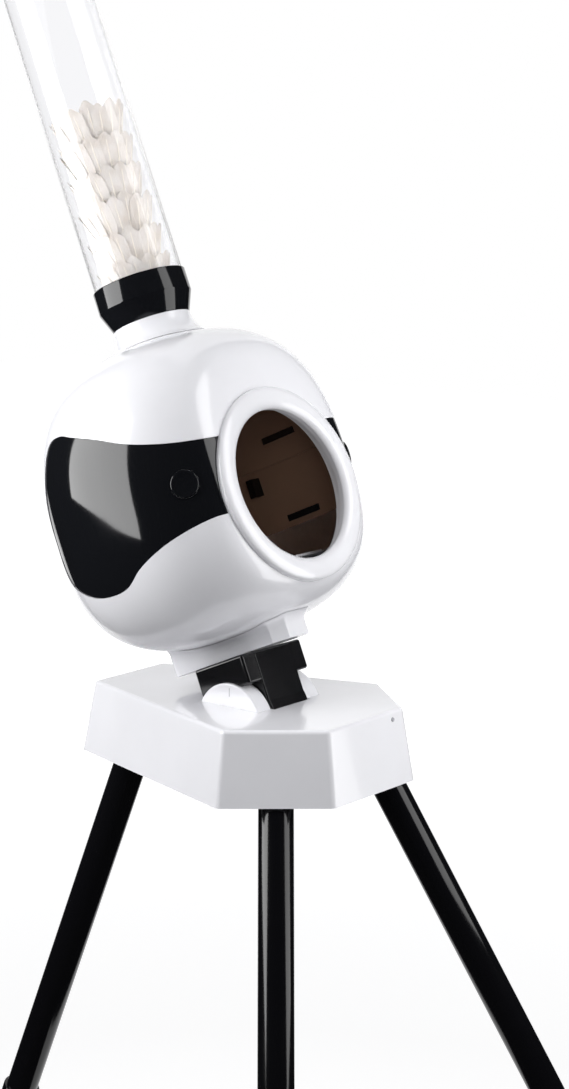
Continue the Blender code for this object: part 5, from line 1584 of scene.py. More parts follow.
@dataclass
class ShuttleStack:
    """Nested feather shuttlecocks, corks down.

    Attributes:
        count: Number of shuttlecocks.
        pitch: Distance from one to the next.
        first: Height of the first cork's bottom.
        cork_radius: Radius of the cork.
        cork_height: Height of the cork.
        top_radius: Radius of the skirt's top.
        length: Length of a shuttlecock.
        feathers: Feathers in one skirt.
        vane_start: Height where the vanes begin.
        vane_half_width: Half width of a vane.
        vane_thickness: Thickness of a vane.
        twist: Turn of each shuttlecock against the one below, in degrees.
        jitter: Largest random turn of a feather, in radians.
        uneven: Largest random change of a feather's length, as a share of it.
        quill_radii: Radius of a quill at its root and at its tip.
        thread_levels: Heights of the two threads.
        thread_radius: Radius of a thread.
    """

    count: int = 6
    pitch: float = 0.0266
    first: float = 0.3013
    cork_radius: float = 0.0130
    cork_height: float = 0.0262
    top_radius: float = 0.0318
    length: float = 0.0848
    feathers: int = 16
    vane_start: float = 0.0480
    vane_half_width: float = 0.0074
    vane_thickness: float = 0.00022
    twist: float = 8.6
    jitter: float = 0.07
    uneven: float = 0.028
    quill_radii: Point2 = (0.00095, 0.00030)
    thread_levels: Point2 = (0.0395, 0.0490)
    thread_radius: float = 0.0007

    def skirt_radius(self, height: float) -> float:
        """Return the skirt's radius at a height over the cork's bottom."""
        start, end = self.cork_height - 0.004, self.length
        inner = self.cork_radius - 0.0022
        share = (height - start) / (end - start)
        return inner + (self.top_radius - inner) * share

    def vane_point(self, u: float, v: float, offset: float) -> Vector:
        """Return a point of a vane.

        Args:
            u: Place across, from -1 to 1.
            v: Place along, from 0 at the root to 1 at the tip.
            offset: Distance out from the skirt.

        Returns:
            The point.
        """
        tip = 1.0 - 0.05 * u * u - 0.03 * u
        height = self.vane_start + (self.length - self.vane_start) * v * tip
        root = min(1.0, (v / 0.30) ** 0.7) if v > 0.0 else 0.0
        crown = math.sqrt(max(0.16, 1.0 - max(0.0, (v - 0.84) / 0.16) ** 2))
        width = self.vane_half_width * max(root, 0.04) * crown
        radius = self.skirt_radius(height) + u * 0.00055 + offset
        turn = u * width / radius
        return Vector((radius * math.cos(turn), radius * math.sin(turn), height))

    def vane(self) -> bpy.types.Object:
        """Build one vane as a thin closed sheet with its UV map."""
        bm = bmesh.new()
        uv = bm.loops.layers.uv.new("vane")
        across, along = 6, 9
        sides = []
        for offset in (0.0, self.vane_thickness):
            grid = []
            for j in range(along + 1):
                row = []
                for i in range(across + 1):
                    u, v = 2.0 * i / across - 1.0, j / along
                    row.append((bm.verts.new(self.vane_point(u, v, offset)), (0.5 * (u + 1.0), v)))
                grid.append(row)
            sides.append(grid)

        def face(corners: Iterable[tuple[bmesh.types.BMVert, Point2]]) -> None:
            """Add a face with its UV corners."""
            corners = list(corners)
            made = bm.faces.new([vert for vert, _ in corners])
            for loop, (_, place) in zip(made.loops, corners):
                loop[uv].uv = place

        for grid in sides:
            for j in range(along):
                for i in range(across):
                    face((grid[j][i], grid[j][i + 1], grid[j + 1][i + 1], grid[j + 1][i]))
        inner, outer = sides
        rim = [(0, i) for i in range(across)] + [(j, across) for j in range(along)]
        rim += [(along, i) for i in range(across, 0, -1)] + [(j, 0) for j in range(along, 0, -1)]
        for (j, i), (m, n) in zip(rim, rim[1:] + rim[:1]):
            face((inner[j][i], inner[m][n], outer[m][n], outer[j][i]))
        return mesh_object("vane_source", bm)

    def quill(self) -> bpy.types.Object:
        """Build one quill as a thin taper from the cork to the tip."""
        rings = []
        steps, sides = 7, 6
        start, end = self.cork_height - 0.004, self.length - 0.006
        for j in range(steps + 1):
            share = j / steps
            height = start + (end - start) * share
            thick = self.quill_radii[0] * (1.0 - share) + self.quill_radii[1] * share
            centre = self.skirt_radius(height) + 0.0002
            rings.append([(centre + x, y, height) for x, y in circle(thick, sides)])
        return loft("quill_source", rings)

    def build(self, repeat: RepeatTree) -> None:
        """Build vanes, quills, corks and threads of the whole stack.

        Args:
            repeat: Tree that sets the copies.
        """
        place = HEAD_PLACE @ Matrix.Translation((0.0, -FORM.forward, self.first))
        rows = {"rows": self.count, "pitch": self.pitch, "turn": math.radians(self.twist)}
        loose = {"jitter": self.jitter, "uneven": self.uneven, **rows}
        vanes = repeat.repeat("feather_skirts", self.vane(), FEATHER, self.feathers, **loose)
        publish(shade(vanes, 50.0), Body.STACK, FEATHER, place, ("shuttlecocks",))
        quills = repeat.repeat("feather_quills", self.quill(), QUILL, self.feathers, **loose)
        publish(shade(quills, 60.0), Body.STACK, QUILL, place)
        radius, height = self.cork_radius, self.cork_height
        profile = [(0.0, 0.0)]
        profile += [(radius * math.sin(t), radius * (1.0 - math.cos(t))) for t in quarter_turns(8)]
        profile += [(radius, height - 0.0006), (radius - 0.0006, height), (0.0, height)]
        corks = repeat.repeat("leather_corks", turned("cork_source", profile, 40), CORK, 1, **rows)
        publish(shade(corks, 40.0), Body.STACK, CORK, place)
        rings = []
        for level in self.thread_levels:
            centre = self.skirt_radius(level)
            hoop = [(centre + x, level + y) for x, y in circle(self.thread_radius, 8)]
            rings.append(turned("thread_source", hoop, 40))
        threads = repeat.repeat("thread_bands", merge("threads", rings), THREAD, 1, **rows)
        publish(shade(threads, 60.0), Body.STACK, THREAD, place)


@dataclass
class Chamber:
    """Launch chamber seen through the port: liner with two bands, and pan.

    Attributes:
        outer: Inset of the liner's outer face.
        wall: Inset of its thin inner face.
        band: Inset of the bands' inner face.
        bottom: Height of the liner's foot.
        top: Height of its top.
        window: Lowest and highest height of the thin middle.
        pan_outer: Inset of the pan's outer face.
        pan_inner: Inset of its inner face.
        pan_floor: Height of the pan's floor.
        pan_rim: Height of its rim.
        pan_bottom: Thickness of its bottom.
        pan_front: Depth where its front is cut off by the port.
    """

    outer: float = 0.0048
    wall: float = 0.0070
    band: float = 0.0090
    bottom: float = 0.1000
    top: float = 0.2640
    window: Point2 = (0.1610, 0.2030)
    pan_outer: float = 0.0093
    pan_inner: float = 0.0108
    pan_floor: float = 0.1115
    pan_rim: float = 0.1465
    pan_bottom: float = 0.0020
    pan_front: float = -0.0800

    def slab(self, low: float, high: float) -> bpy.types.Object:
        """Return a wide flat cutter between two heights."""
        return block("slab", (-REACH, -REACH, low), (REACH, REACH, high))

    def layer(self, name: str, inset: float, low: float, high: float) -> bpy.types.Object:
        """Return the drawn-in form between two heights."""
        item = FORM.core(name, inset)
        boolean(item, self.slab(high, 2.0 * REACH))
        return boolean(item, self.slab(-REACH, low))

    def build(self, shells: Shells) -> None:
        """Build the liner and the pan.

        Args:
            shells: Shells whose port hole they leave free.
        """
        liner = self.layer("banded_liner", self.outer, self.bottom, self.top)
        boolean(liner, FORM.core("bands", self.band))
        boolean(liner, self.layer("middle", self.wall, *self.window))
        boolean(liner, shells.port_cutter(shells.port_hole))
        FORM.dress_normals(liner, (self.outer, self.wall, self.band))
        publish(liner, Body.HEAD, BROWN, HEAD_PLACE, ("chamber_liner",))
        pan = self.layer("pressed_pan", self.pan_outer, self.pan_floor, self.pan_rim)
        hollow = FORM.core("hollow", self.pan_inner)
        boolean(pan, boolean(hollow, self.slab(-REACH, self.pan_floor + self.pan_bottom)))
        boolean(pan, shells.port_cutter(shells.port_hole, self.pan_front))
        FORM.dress_normals(pan, (self.pan_outer, self.pan_inner))
        publish(pan, Body.HEAD, PAN, HEAD_PLACE, ("launch_pan",))


@dataclass
class Base:
    """Six-sided white base with its ears, and openings for the rear controls and power light.

    Attributes:
        front: Half width and depth of the front edge of the top.
        middle: Half width and depth of its widest corners.
        rear: Half width and depth of the rear edge.
        height: Height of the casing.
        flare: How far the sides spread towards the bottom.
        wall: Wall of the casing.
        edge: Rounding of the top edges.
        ear_radius: Radius of the ears.
        ear_inner: Inner face of an ear.
        ear_outer: Outer face of an ear.
        slot_front: Front end of the slot for the lug.
        lug_radius: Radius that the lug sweeps.
        control_depth: How far the controls lie under the top.
        light_x: Place of the power light along X.
        light_depth: How far the light lies under the top.
        light_hole: Radius of the light's hole.
        control_x: Distance of the controls from the middle of the rear face.
        switch_window: Half width and half height of the switch's window.
        knob_hole: Radius of the knob's hole.
        ear_edge: Rounding of the ears' edges.
        yoke_lip: How far the ears' flange stands out past them, in width and in depth.
        yoke_thickness: Thickness of that flange.
        mark_half: Half thickness and half width of an ear's index line.
        mark_span: Lowest and highest height of that line.
    """

    front: Point2 = (0.0478, 0.1094)
    middle: Point2 = (0.1003, 0.0452)
    rear: Point2 = (0.0421, 0.1461)
    height: float = 0.0600
    flare: float = 0.0091
    wall: float = 0.0022
    edge: float = 0.0030
    ear_radius: float = 0.0340
    ear_inner: float = 0.0231
    ear_outer: float = 0.0391
    slot_front: float = 0.03388
    lug_radius: float = 0.0352
    control_depth: float = 0.0250
    light_x: float = 0.0330
    light_depth: float = 0.0070
    light_hole: float = 0.0019
    control_x: float = 0.0265
    switch_window: Point2 = (0.0090, 0.0060)
    knob_hole: float = 0.0038
    ear_edge: float = 0.0014
    yoke_lip: Point2 = (0.0080, 0.0060)
    yoke_thickness: float = 0.0030
    mark_half: Point2 = (0.00006, 0.00035)
    mark_span: Point2 = (0.0082, 0.0155)

    def outline(self, offset: float = 0.0) -> list[Point2]:
        """Return the corners of the plan at the top, pushed outwards by an offset."""
        right = [(self.front[0], -self.front[1]), (self.middle[0], -self.middle[1]), self.rear]
        corners = right + [(-x, y) for x, y in reversed(right)]
        lines = []
        for (x0, y0), (x1, y1) in zip(corners, corners[1:] + corners[:1]):
            length = math.hypot(x1 - x0, y1 - y0)
            normal = ((y1 - y0) / length, -(x1 - x0) / length)
            lines.append((normal, normal[0] * x0 + normal[1] * y0 + offset))
        moved = []
        for (n0, c0), (n1, c1) in zip(lines[-1:] + lines[:-1], lines):
            cross = n0[0] * n1[1] - n0[1] * n1[0]
            moved.append(((c0 * n1[1] - c1 * n0[1]) / cross, (n0[0] * c1 - n1[0] * c0) / cross))
        return moved

    def ring(self, height: float, inset: float = 0.0) -> list[tuple[float, float, float]]:
        """Return the flared plan at a height under the top."""
        spread = self.flare * -height / self.height
        return [(x, y, height) for x, y in self.outline(spread - inset)]

    def rear_place(self, x: float) -> Matrix:
        """Return a place on the sloping rear face, with Z along its normal."""
        slope = math.atan2(self.flare, self.height)
        y = self.rear[1] + self.flare * self.control_depth / self.height
        tilt = Matrix.Rotation(-math.radians(90.0) + slope, 4, "X")
        return Matrix.Translation((x, y, -self.control_depth)) @ tilt

    def light_point(self, out: float) -> Vector:
        """Return a point on the front face's normal through the power light."""
        slope = math.atan2(self.flare, self.height)
        y = -self.front[1] - self.flare * self.light_depth / self.height
        return Vector((self.light_x, y - out * math.cos(slope), -self.light_depth + out * math.sin(slope)))

    def build(self) -> None:
        """Build the casing and the ears."""
        shell = self.casing()
        window = self.ear_outer + GAP
        ends = ((-window, 0.0, -PIVOT_DEPTH), (window, 0.0, -PIVOT_DEPTH))
        boolean(shell, rod("ears", *ends, self.ear_radius + GAP, 128))
        slot = ((-self.ear_inner, -self.slot_front, -PIVOT_DEPTH), (self.ear_inner, 0.0, CUT))
        boolean(shell, block("lug", *slot))
        wide, high = self.switch_window
        window = block("window", (-wide, -high, -2.0 * CUT), (wide, high, 2.0 * CUT))
        window.data.transform(self.rear_place(-self.control_x))
        boolean(shell, window)
        hole = rod("knob_hole", (0.0, 0.0, -2.0 * CUT), (0.0, 0.0, 2.0 * CUT), self.knob_hole, 48)
        hole.data.transform(self.rear_place(self.control_x))
        boolean(shell, hole)
        ends = (self.light_point(CUT), self.light_point(-2.0 * CUT))
        boolean(shell, rod("light_hole", *ends, self.light_hole, 32))
        publish(weigh(shade(shell, 30.0)), Body.STAND, WHITE, BASE_PLACE, ("base_shell",))
        self.build_ears()

    def casing(self) -> bpy.types.Object:
        """Return the hollow casing with rounded top edges, before its openings are cut."""
        bm = bmesh.new()
        loops = [[bm.verts.new(point) for point in self.ring(z)] for z in (-self.height, 0.0)]
        count = len(loops[0])
        for i in range(count):
            j = (i + 1) % count
            bm.faces.new((loops[0][i], loops[0][j], loops[1][j], loops[1][i]))
        bm.faces.new(loops[0])
        bm.faces.new(loops[1])
        edges = [e for e in bm.edges if max(v.co.z for v in e.verts) > -GAP]
        bmesh.ops.bevel(bm, geom=edges, offset=self.edge, segments=6, profile=0.5, affect="EDGES")
        shell = mesh_object("base_casing", bm)
        levels = (-self.height - CUT, -self.wall)
        return boolean(shell, loft("cavity", [self.ring(z, self.wall) for z in levels]))

    def build_ears(self) -> None:
        """Build the two ears, joined by their flange under the casing's top."""
        ears = []
        for side in (-1.0, 1.0):
            half, edge = 0.5 * (self.ear_outer - self.ear_inner), self.ear_edge
            corners = [(0.0, -half, 0.0), (self.ear_radius, -half, edge), (self.ear_radius, half, edge)]
            corners.append((0.0, half, 0.0))
            ear = turned("ear", rounded(corners, 5), 128)
            turn = Matrix.Rotation(math.radians(90.0), 4, "Y")
            middle = side * 0.5 * (self.ear_outer + self.ear_inner)
            ear.data.transform(Matrix.Translation((middle, 0.0, -PIVOT_DEPTH)) @ turn)
            ears.append(ear)
        flange_top = -self.wall - GAP
        across, chord = self.ear_outer + self.yoke_lip[0], self.ear_radius + self.yoke_lip[1]
        low = (-across, -chord, flange_top - self.yoke_thickness)
        yoke = block("pivot_ears", low, (across, chord, flange_top))
        clear = self.lug_radius + GAP
        boolean(yoke, block("gap", (-self.ear_inner, -clear, -REACH), (self.ear_inner, clear, REACH)))
        for ear in ears:
            boolean(yoke, ear, "UNION")
        bolt = ((-REACH, 0.0, -PIVOT_DEPTH), (REACH, 0.0, -PIVOT_DEPTH))
        boolean(yoke, rod("bolt_hole", *bolt, BOLT_RADIUS, 32))
        publish(weigh(shade(yoke, 30.0)), Body.STAND, WHITE, BASE_PLACE, ("tilt_yoke",))
        for side, word in SIDES:
            face, (thin, wide) = side * self.ear_outer, self.mark_half
            low, high = (face - thin, -wide, self.mark_span[0]), (face + thin, wide, self.mark_span[1])
            mark = block(f"index_line_{word}", low, high)
            publish(soften(mark, 0.00003, 1), Body.STAND, MARK, BASE_PLACE)


@dataclass
class Leg:
    """One leg: upper tube with its coupling, lower tube and rubber foot.

    Attributes:
        place: Which leg it is.
        start: Where its axis leaves the base's underside.
        heading: Unit heading in the plan.
        splay: Angle from the upright, in radians.
        radius: Radius of the tubes.
        sleeve_radius: Radius of the coupling.
        foot_radius: Radius of the foot.
        upper_reach: Length of the upper tube under the base.
        hidden: Length of the upper tube inside the base.
        floor: Height of the floor under the base's top.
        drop: Height of the base's underside over the floor.
        wall: Wall of the tubes.
        sleeve: Length of the coupling, over and under the upper tube's end.
        edge: Rounding of the coupling's edges.
        foot_height: Length of the foot above the floor, along the leg.
        groove: Pitch and depth of the foot's grip rings.
    """

    place: str
    start: Vector
    heading: Vector
    splay: float
    radius: float = 0.0142
    sleeve_radius: float = 0.0168
    foot_radius: float = 0.0176
    upper_reach: float = 0.405
    hidden: float = 0.0307
    floor: float = -0.620
    drop: float = 0.560
    wall: float = 0.0015
    sleeve: Point2 = (0.021, 0.027)
    edge: float = 0.0012
    foot_height: float = 0.042
    groove: Point2 = (0.0055, 0.0007)

    def build(self) -> None:
        """Build the leg's pieces."""
        direction = self.heading * math.sin(self.splay) - Vector((0.0, 0.0, math.cos(self.splay)))
        total = self.drop / math.cos(self.splay)
        bore, socket = self.radius - self.wall, self.radius + GAP
        joint = self.hidden + self.upper_reach
        step, end = joint - self.sleeve[0], joint + self.sleeve[1]
        corners = [
            (bore, 0.0, 0.0), (self.radius, 0.0, 0.0004), (self.radius, step, 0.0),
            (self.sleeve_radius, step, self.edge), (self.sleeve_radius, end, self.edge),
            (socket, end, 0.0), (socket, joint, 0.0), (bore, joint, 0.0),
        ]
        upper = shade(turned(f"upper_leg_{self.place}", rounded(corners, 4), 72), 40.0)
        upper.data.transform(Matrix.Translation(self.start - direction * self.hidden) @ aim(direction))
        publish(upper, Body.STAND, LEG, BASE_PLACE, (f"leg_upper_{self.place}",))
        lower_end = total - 0.006 - self.radius * math.tan(math.radians(27.0))
        ends = (self.upper_reach + GAP, lower_end)
        profile = [(bore, ends[0]), (self.radius, ends[0]), (self.radius, ends[1]), (bore, ends[1])]
        lower = shade(turned(f"lower_leg_{self.place}", profile, 72), 40.0)
        lower.data.transform(Matrix.Translation(self.start) @ aim(direction))
        publish(lower, Body.STAND, LEG, BASE_PLACE, (f"leg_lower_{self.place}",))
        self.build_foot(direction, total, lower_end)

    def build_foot(self, direction: Vector, total: float, lower_end: float) -> None:
        """Build the rubber foot with its grip rings.

        Args:
            direction: The leg's direction.
            total: Length of the leg's axis down to the floor.
            lower_end: Where the lower tube ends.
        """
        top = total - self.foot_height
        radius, (pitch, depth) = self.foot_radius, self.groove
        outline = [(self.radius + GAP, top), (radius - 0.0010, top), (radius - 0.0003, top + 0.0008)]
        for i in range(5):
            ring = top + 0.006 + pitch * i
            outline += [(radius, ring - 0.0012), (radius, ring), (radius - depth, ring + 0.0005)]
            outline += [(radius - depth, ring + 0.0017), (radius, ring + 0.0022)]
        outline += [(radius, total + 0.03), (0.0, total + 0.03), (0.0, lower_end + GAP)]
        outline += [(self.radius + GAP, lower_end + GAP)]
        foot = turned(f"ribbed_foot_{self.place}", outline, 72)
        foot.data.transform(Matrix.Translation(self.start) @ aim(direction))
        wide = 2.0 * REACH
        boolean(foot, block("floor", (-wide, -wide, self.floor - REACH), (wide, wide, self.floor)))
        publish(shade(foot, 35.0), Body.STAND, RUBBER, BASE_PLACE, (f"leg_foot_{self.place}",))


@dataclass
class TiltJoint:
    """White foot under the head and the black bracket with its lug.

    Attributes:
        foot_half_width: Half width of the foot.
        foot_front: Reach of the foot to the front.
        foot_back: Reach of the foot to the rear.
        foot_corner: Rounding of the foot's rear corners.
        foot_chamfer: Leg of the chamfers on its front corners.
        foot_edge: Rounding of its lower edge.
        foot_sweep: Radius of the sweep into the head.
        foot_top: Height of its top, inside the head.
        half_width: Half width of the bracket.
        front: Reach of the bracket to the front.
        back: Reach of the bracket to the rear.
        bottom: Height of the bracket's underside.
        top: Height of its top.
        lug_half_width: Half width of the lug.
        lug_front: Reach of the lug to the front.
        lug_back: Reach of the lug to the rear.
        lug_radius: Radius of the lug's round nose.
        lug_bottom: How far the lug hangs under the pivot.
        arch_gap: Room between the plate's arches and the ears.
        plate_edge: Rounding of the plate's edges.
        lug_edge: Rounding of the lug's edges.
        bar: Half length of the round cutters, past both sides of the bracket.
    """

    foot_half_width: float = 0.0225
    foot_front: float = 0.0665
    foot_back: float = 0.0600
    foot_corner: float = 0.0080
    foot_chamfer: float = 0.0105
    foot_edge: float = 0.0012
    foot_sweep: float = 0.0070
    foot_top: float = 0.1000
    half_width: float = 0.0376
    front: float = 0.0334
    back: float = 0.0210
    bottom: float = 0.02587
    top: float = 0.05067
    lug_half_width: float = 0.0225
    lug_front: float = 0.0340
    lug_back: float = 0.0205
    lug_radius: float = 0.0352
    lug_bottom: float = 0.0200
    arch_gap: float = 0.0007
    plate_edge: float = 0.0022
    lug_edge: float = 0.0011
    bar: float = 0.1

    def build(self, base: Base) -> None:
        """Build the foot and the bracket.

        Args:
            base: Base whose ears the bracket arches over.
        """
        self.build_foot()
        low = (-self.half_width, -self.front, self.bottom)
        bracket = block("tilt_bracket_plate", low, (self.half_width, self.back, self.top))
        soften(bracket, self.plate_edge, 4, 40.0)
        for side in (-1.0, 1.0):
            ends = ((side * (base.ear_inner - GAP), 0.0, 0.0), (side * self.bar, 0.0, 0.0))
            boolean(bracket, rod("arch", *ends, base.ear_radius + self.arch_gap, 128))
        corner = math.sqrt(self.lug_radius ** 2 - self.lug_front ** 2)
        first = math.pi - math.atan2(corner, self.lug_front)
        last = math.pi + math.asin(self.lug_bottom / self.lug_radius)
        steps = 24
        turns = [first + (last - first) * i / steps for i in range(steps + 1)]
        upper = self.top - 0.0012
        outline = [(self.lug_back, -self.lug_bottom), (self.lug_back, upper), (-self.lug_front, upper)]
        outline += [(self.lug_radius * math.cos(t), self.lug_radius * math.sin(t)) for t in turns]
        lug = prism("lug", outline, -self.lug_half_width, self.lug_half_width)
        boolean(bracket, soften(lug, self.lug_edge, 3, 60.0), "UNION")
        ends = ((-self.bar, 0.0, 0.0), (self.bar, 0.0, 0.0))
        boolean(bracket, rod("bolt_hole", *ends, BOLT_RADIUS, 32))
        publish(weigh(shade(bracket, 32.0)), Body.HEAD, BLACK, HEAD_PLACE, ("tilt_bracket",))

    def build_foot(self) -> None:
        """Build the foot: a block whose sides sweep out into the head's underside."""
        w, f, b, r = self.foot_half_width, self.foot_front, self.foot_back, self.foot_corner
        c, soft = self.foot_chamfer, 0.0015
        corners = [(-w, -f + c, soft), (-w + c, -f, soft), (w - c, -f, soft), (w, -f + c, soft)]
        corners += [(w, b, r), (-w, b, r)]
        outline = divided(rounded(corners, 6), 0.004)
        bottom = self.top + GAP

        def ring(offset: float, level: float, drop: float | None = None) -> list[Vector]:
            """Return the outline grown by an offset, at a level or at a drop under the head."""
            points = []
            for x, y in grown(outline, offset):
                height = level if drop is None else max(FORM.underside(x, y) - drop, level)
                points.append(Vector((x, y, height)))
            return points

        edge, sweep, steps = self.foot_edge, self.foot_sweep, 9
        rings = [ring(-edge, bottom), ring(-0.3 * edge, bottom + 0.3 * edge), ring(0.0, bottom + edge)]
        for i in range(steps + 1):
            turn = 0.5 * math.pi * i / steps
            drop = sweep * (1.0 - math.sin(turn)) + 0.0002
            rings.append(ring(sweep * (1.0 - math.cos(turn)), bottom + 1.5 * edge, drop))
        rings += [ring(sweep, 0.0, -0.0040), ring(-0.5 * r, self.foot_top)]
        foot = loft("head_pedestal", rings)
        boolean(foot, FORM.seat())
        publish(weigh(shade(foot, 30.0)), Body.HEAD, WHITE, HEAD_PLACE, ("head_foot",))


@dataclass
class SpeedKnob:
    """Speed knob on the rear face with grip ridges and a pointer.

    Attributes:
        radius: Radius of the knob.
        height: Height of the knob.
        ridges: Number of grip ridges.
        stem: Radius of the stem in the casing.
        stem_end: How far the stem reaches into the casing.
        ridge_height: How far the ridges stand out.
        line: Half width of the pointer's groove, and its depth.
        ridge_half: Half width of a ridge.
    """

    radius: float = 0.0095
    height: float = 0.0110
    ridges: int = 24
    stem: float = 0.0035
    stem_end: float = 0.0090
    ridge_height: float = 0.0006
    line: Point2 = (0.0005, 0.0005)
    ridge_half: float = 0.00035

    def build(self, base: Base, repeat: RepeatTree) -> None:
        """Build the knob.

        Args:
            base: Base that it sits on.
            repeat: Tree that sets the ridges.
        """
        place = BASE_PLACE @ base.rear_place(base.control_x)
        body, top = self.radius - self.ridge_height, GAP + self.height
        corners = [
            (0.0, -self.stem_end, 0.0), (self.stem, -self.stem_end, 0.0), (self.stem, GAP, 0.0),
            (body, GAP, 0.0004), (body, top, 0.0012), (0.0, top, 0.0),
        ]
        knob = turned("speed_dial", rounded(corners, 4), 72)
        half, deep = self.line
        low, high = (-half, -0.8 * self.radius, top - deep), (half, -0.2 * self.radius, top + CUT)
        boolean(knob, block("pointer", low, high))
        publish(shade(knob, 35.0), Body.KNOB, BLACK, place, ("speed_knob",))
        low = (body - 0.0004, -self.ridge_half, 0.0012)
        high = (self.radius, self.ridge_half, GAP + 0.85 * self.height)
        ridge = soften(block("ridge", low, high), 0.00015, 2)
        ridges = repeat.repeat("dial_ridges", ridge, BLACK, self.ridges)
        publish(shade(ridges, 40.0), Body.KNOB, BLACK, place)


def seen_directly(tree: bpy.types.NodeTree) -> bpy.types.NodeSocket:
    """Return 1 for rays from the camera, reflections and refractions, and 0 for other rays."""
    path = tree.nodes.new("ShaderNodeLightPath")
    seen = maths(tree, "MAXIMUM", path.outputs["Is Camera Ray"], path.outputs["Is Glossy Ray"])
    return maths(tree, "MAXIMUM", seen, path.outputs["Is Transmission Ray"])


@dataclass(frozen=True)
class Panel:
    """Soft panel that faces the upright line through the origin.

    Attributes:
        name: The lamp's name.
        azimuth: Degrees round from the front, positive to the right.
        distance: Distance of its centre from that line.
        height: Height of its centre over the floor.
        size: Width and height.
        power: Watts.
        target: Height of the point that it faces.
        reflected: Whether gloss shows it.
    """

    name: str
    azimuth: float
    distance: float
    height: float
    size: Point2
    power: float
    target: float = 0.80
    reflected: bool = False

    def build(self) -> None:
        """Add the panel's lamp."""
        lamp = bpy.data.lights.new(self.name, "AREA")
        lamp.shape = "RECTANGLE"
        lamp.size, lamp.size_y = self.size
        lamp.energy = self.power
        item = linked(self.name, lamp)
        turn = math.radians(self.azimuth)
        item.location = (self.distance * math.sin(turn), -self.distance * math.cos(turn), self.height)
        item.rotation_mode = "QUATERNION"
        facing = item.location - Vector((0.0, 0.0, self.target))
        item.rotation_quaternion = facing.to_track_quat("Z", "Y")
        item.visible_camera = False
        item.visible_glossy = self.reflected


PANELS = (
    Panel("left_panel", -127.3, 0.814, 1.01, (0.65, 0.72), 9.1, 1.01, reflected=True),
    Panel("right_panel", 21.8, 0.634, 1.05, (0.34, 1.20), 3.7, 1.05, reflected=True),
    Panel("front_fill", -49.0, 2.20, 1.30, (0.9, 0.9), 7.2),
    Panel("side_fill", 40.0, 1.70, 1.50, (1.4, 1.4), 5.6),
    Panel("top_fill", -40.0, 0.50, 2.60, (1.4, 1.4), 10.0),
)


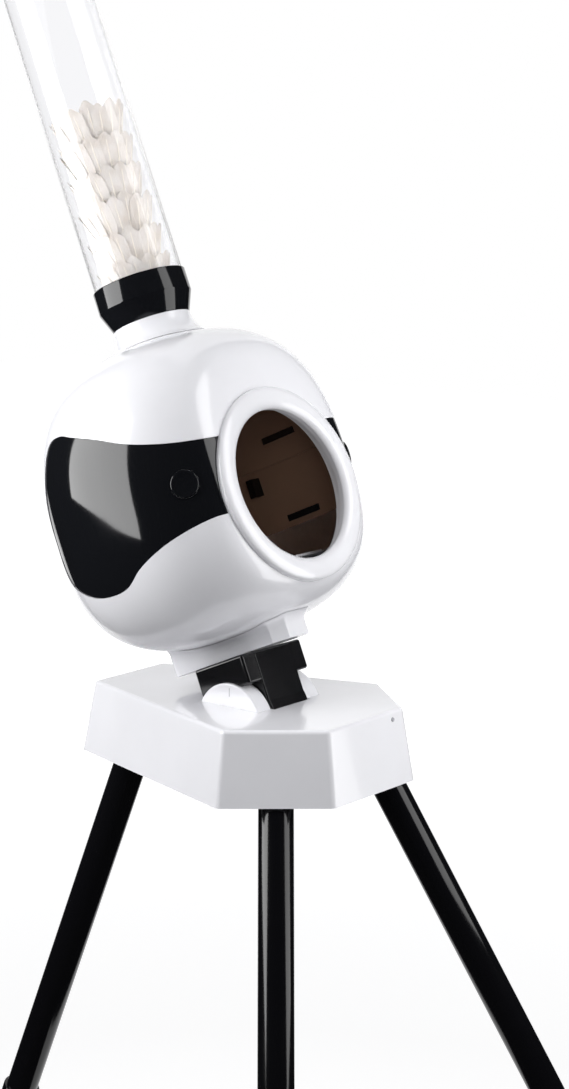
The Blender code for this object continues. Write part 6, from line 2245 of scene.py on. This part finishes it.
class Studio:
    """Pale floor, soft panels, even surroundings and the photograph's camera."""

    def build(self) -> None:
        """Build the studio."""
        self.floor()
        self.surroundings()
        self.flags()
        for panel in PANELS:
            panel.build()
        self.camera()

    def flags(self) -> None:
        """Stand black cards round the set, so that gloss shows only the panels and the backdrop.

        They are seen by reflections alone, and leave the sector behind the object open, where
        gloss shows the white backdrop. One more card lies just over the floor.
        """
        bm = bmesh.new()
        radius, step, ground = 2.6, 10, 0.003
        head = Vector((0.0, 0.0, 0.80))

        def at(azimuth: float, elevation: float) -> Vector:
            """Return a point of the dome, kept above the floor."""
            turn, rise = math.radians(azimuth), math.radians(elevation)
            flat = radius * math.cos(rise)
            point = head + Vector((flat * math.sin(turn), -flat * math.cos(turn), radius * math.sin(rise)))
            point.z = max(point.z, ground)
            return point

        for azimuth in range(-200, 100, step):
            for elevation in range(-20, 90, step):
                corners = [(azimuth, elevation), (azimuth + step, elevation)]
                corners += [(azimuth + step, elevation + step), (azimuth, elevation + step)]
                if elevation + step == 90:
                    corners.pop()
                bm.faces.new([bm.verts.new(at(*corner)) for corner in corners])
            fan = [Vector((0.0, 0.0, ground)), at(azimuth, -20.0), at(azimuth + step, -20.0)]
            bm.faces.new([bm.verts.new(point) for point in fan])
        cards = mesh_object("studio_flags", bm)
        material = bpy.data.materials.new("studio_black_card")
        material.use_nodes = True
        shader = material.node_tree.nodes["Principled BSDF"]
        set_inputs(shader, {
            "Base Color": (0.02, 0.02, 0.02), "Roughness": 0.9, "Specular IOR Level": 0.0,
        })
        cards.data.materials.append(material)
        for ray in ("camera", "diffuse", "transmission", "volume_scatter", "shadow"):
            setattr(cards, f"visible_{ray}", False)

    def surroundings(self) -> None:
        """Make the world white where it is seen and moderate where it lights."""
        world = bpy.data.worlds.new("studio_white")
        bpy.context.scene.world = world
        world.use_nodes = True
        tree = world.node_tree
        tree.nodes.clear()
        seen = seen_directly(tree)
        light, white = tree.nodes.new("ShaderNodeBackground"), tree.nodes.new("ShaderNodeBackground")
        set_inputs(light, {"Color": (0.94, 0.95, 1.0), "Strength": 0.20})
        set_inputs(white, {"Color": (1.0, 1.0, 1.0), "Strength": 1.0})
        mix, out = tree.nodes.new("ShaderNodeMixShader"), tree.nodes.new("ShaderNodeOutputWorld")
        wire(tree, seen, mix.inputs[0])
        wire(tree, light.outputs[0], mix.inputs[1])
        wire(tree, white.outputs[0], mix.inputs[2])
        wire(tree, mix.outputs[0], out.inputs["Surface"])

    def floor(self) -> None:
        """Make the floor, white where it is seen and still dimmed by the shadow."""
        bm = bmesh.new()
        bmesh.ops.create_grid(bm, x_segments=1, y_segments=1, size=6.0)
        floor = mesh_object("studio_floor", bm)
        material = bpy.data.materials.new("studio_floor_white")
        material.use_nodes = True
        tree = material.node_tree
        tree.nodes.clear()
        seen = seen_directly(tree)
        reach = tree.nodes.new("ShaderNodeVectorMath")
        reach.operation = "LENGTH"
        wire(tree, tree.nodes.new("ShaderNodeTexCoord").outputs["Object"], reach.inputs[0])
        level = remap(tree, reach.outputs["Value"], 0.8, 2.2, 0.72, 1.0)
        matt, glow = tree.nodes.new("ShaderNodeBsdfDiffuse"), tree.nodes.new("ShaderNodeEmission")
        set_inputs(matt, {"Color": (0.45, 0.45, 0.45)})
        set_inputs(glow, {"Color": (1.0, 1.0, 1.0)})
        wire(tree, maths(tree, "MULTIPLY", seen, level), glow.inputs["Strength"])
        both, out = tree.nodes.new("ShaderNodeAddShader"), tree.nodes.new("ShaderNodeOutputMaterial")
        wire(tree, matt.outputs[0], both.inputs[0])
        wire(tree, glow.outputs[0], both.inputs[1])
        wire(tree, both.outputs[0], out.inputs["Surface"])
        floor.data.materials.append(material)

    def camera(self) -> None:
        """Set the camera at the photograph's angle."""
        data = bpy.data.cameras.new("photo_camera")
        data.lens = 80.68
        data.sensor_width = 36.0
        item = linked("photo_camera", data)
        item.location = (-1.4922, -1.3030, 1.107)
        item.rotation_euler = (math.radians(90.0 - 10.4956), 0.0, math.radians(-50.8244))
        bpy.context.scene.camera = item


def dress_nodes() -> None:
    """Give every CAD node that still shows its procedural finish."""
    for part in frame["record"]["subparts"]:
        node = frame["nodes"][part["node"]]
        if node.hide_render:
            continue
        material = SLOT_FINISHES[part["material_slot"]].material()
        for slot in node.material_slots:
            slot.material = material
        LOG.info("%s keeps its CAD mesh in %s", part["node"], material.name)


def build_legs() -> None:
    """Build the three legs."""
    heading = Vector((0.0642, -0.0525, 0.0)).normalized()
    for side, word in ((-1.0, "front_left"), (1.0, "front_right")):
        out = Vector((side * heading.x, heading.y, 0.0))
        start = Vector((side * 0.07405, -0.0773, -0.0600)) - out * 0.0095
        Leg(word, start, out, math.radians(27.0)).build()
    out = Vector((0.0, 1.0, 0.0))
    Leg("rear", Vector((0.0, 0.1461 - 0.0095, -0.0600)), out, math.radians(23.0)).build()


def main() -> None:
    """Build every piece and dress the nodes."""
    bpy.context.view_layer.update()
    bpy.context.scene.view_settings.view_transform = "Standard"
    repeat = RepeatTree()
    shells = Shells()
    shells.build()
    PortRing().build()
    Magazine().build()
    ShuttleStack().build(repeat)
    Chamber().build(shells)
    base = Base()
    base.build()
    build_legs()
    TiltJoint().build(base)
    SpeedKnob().build(base, repeat)
    dress_nodes()
    Studio().build()


if __name__ == "__main__":
    main()
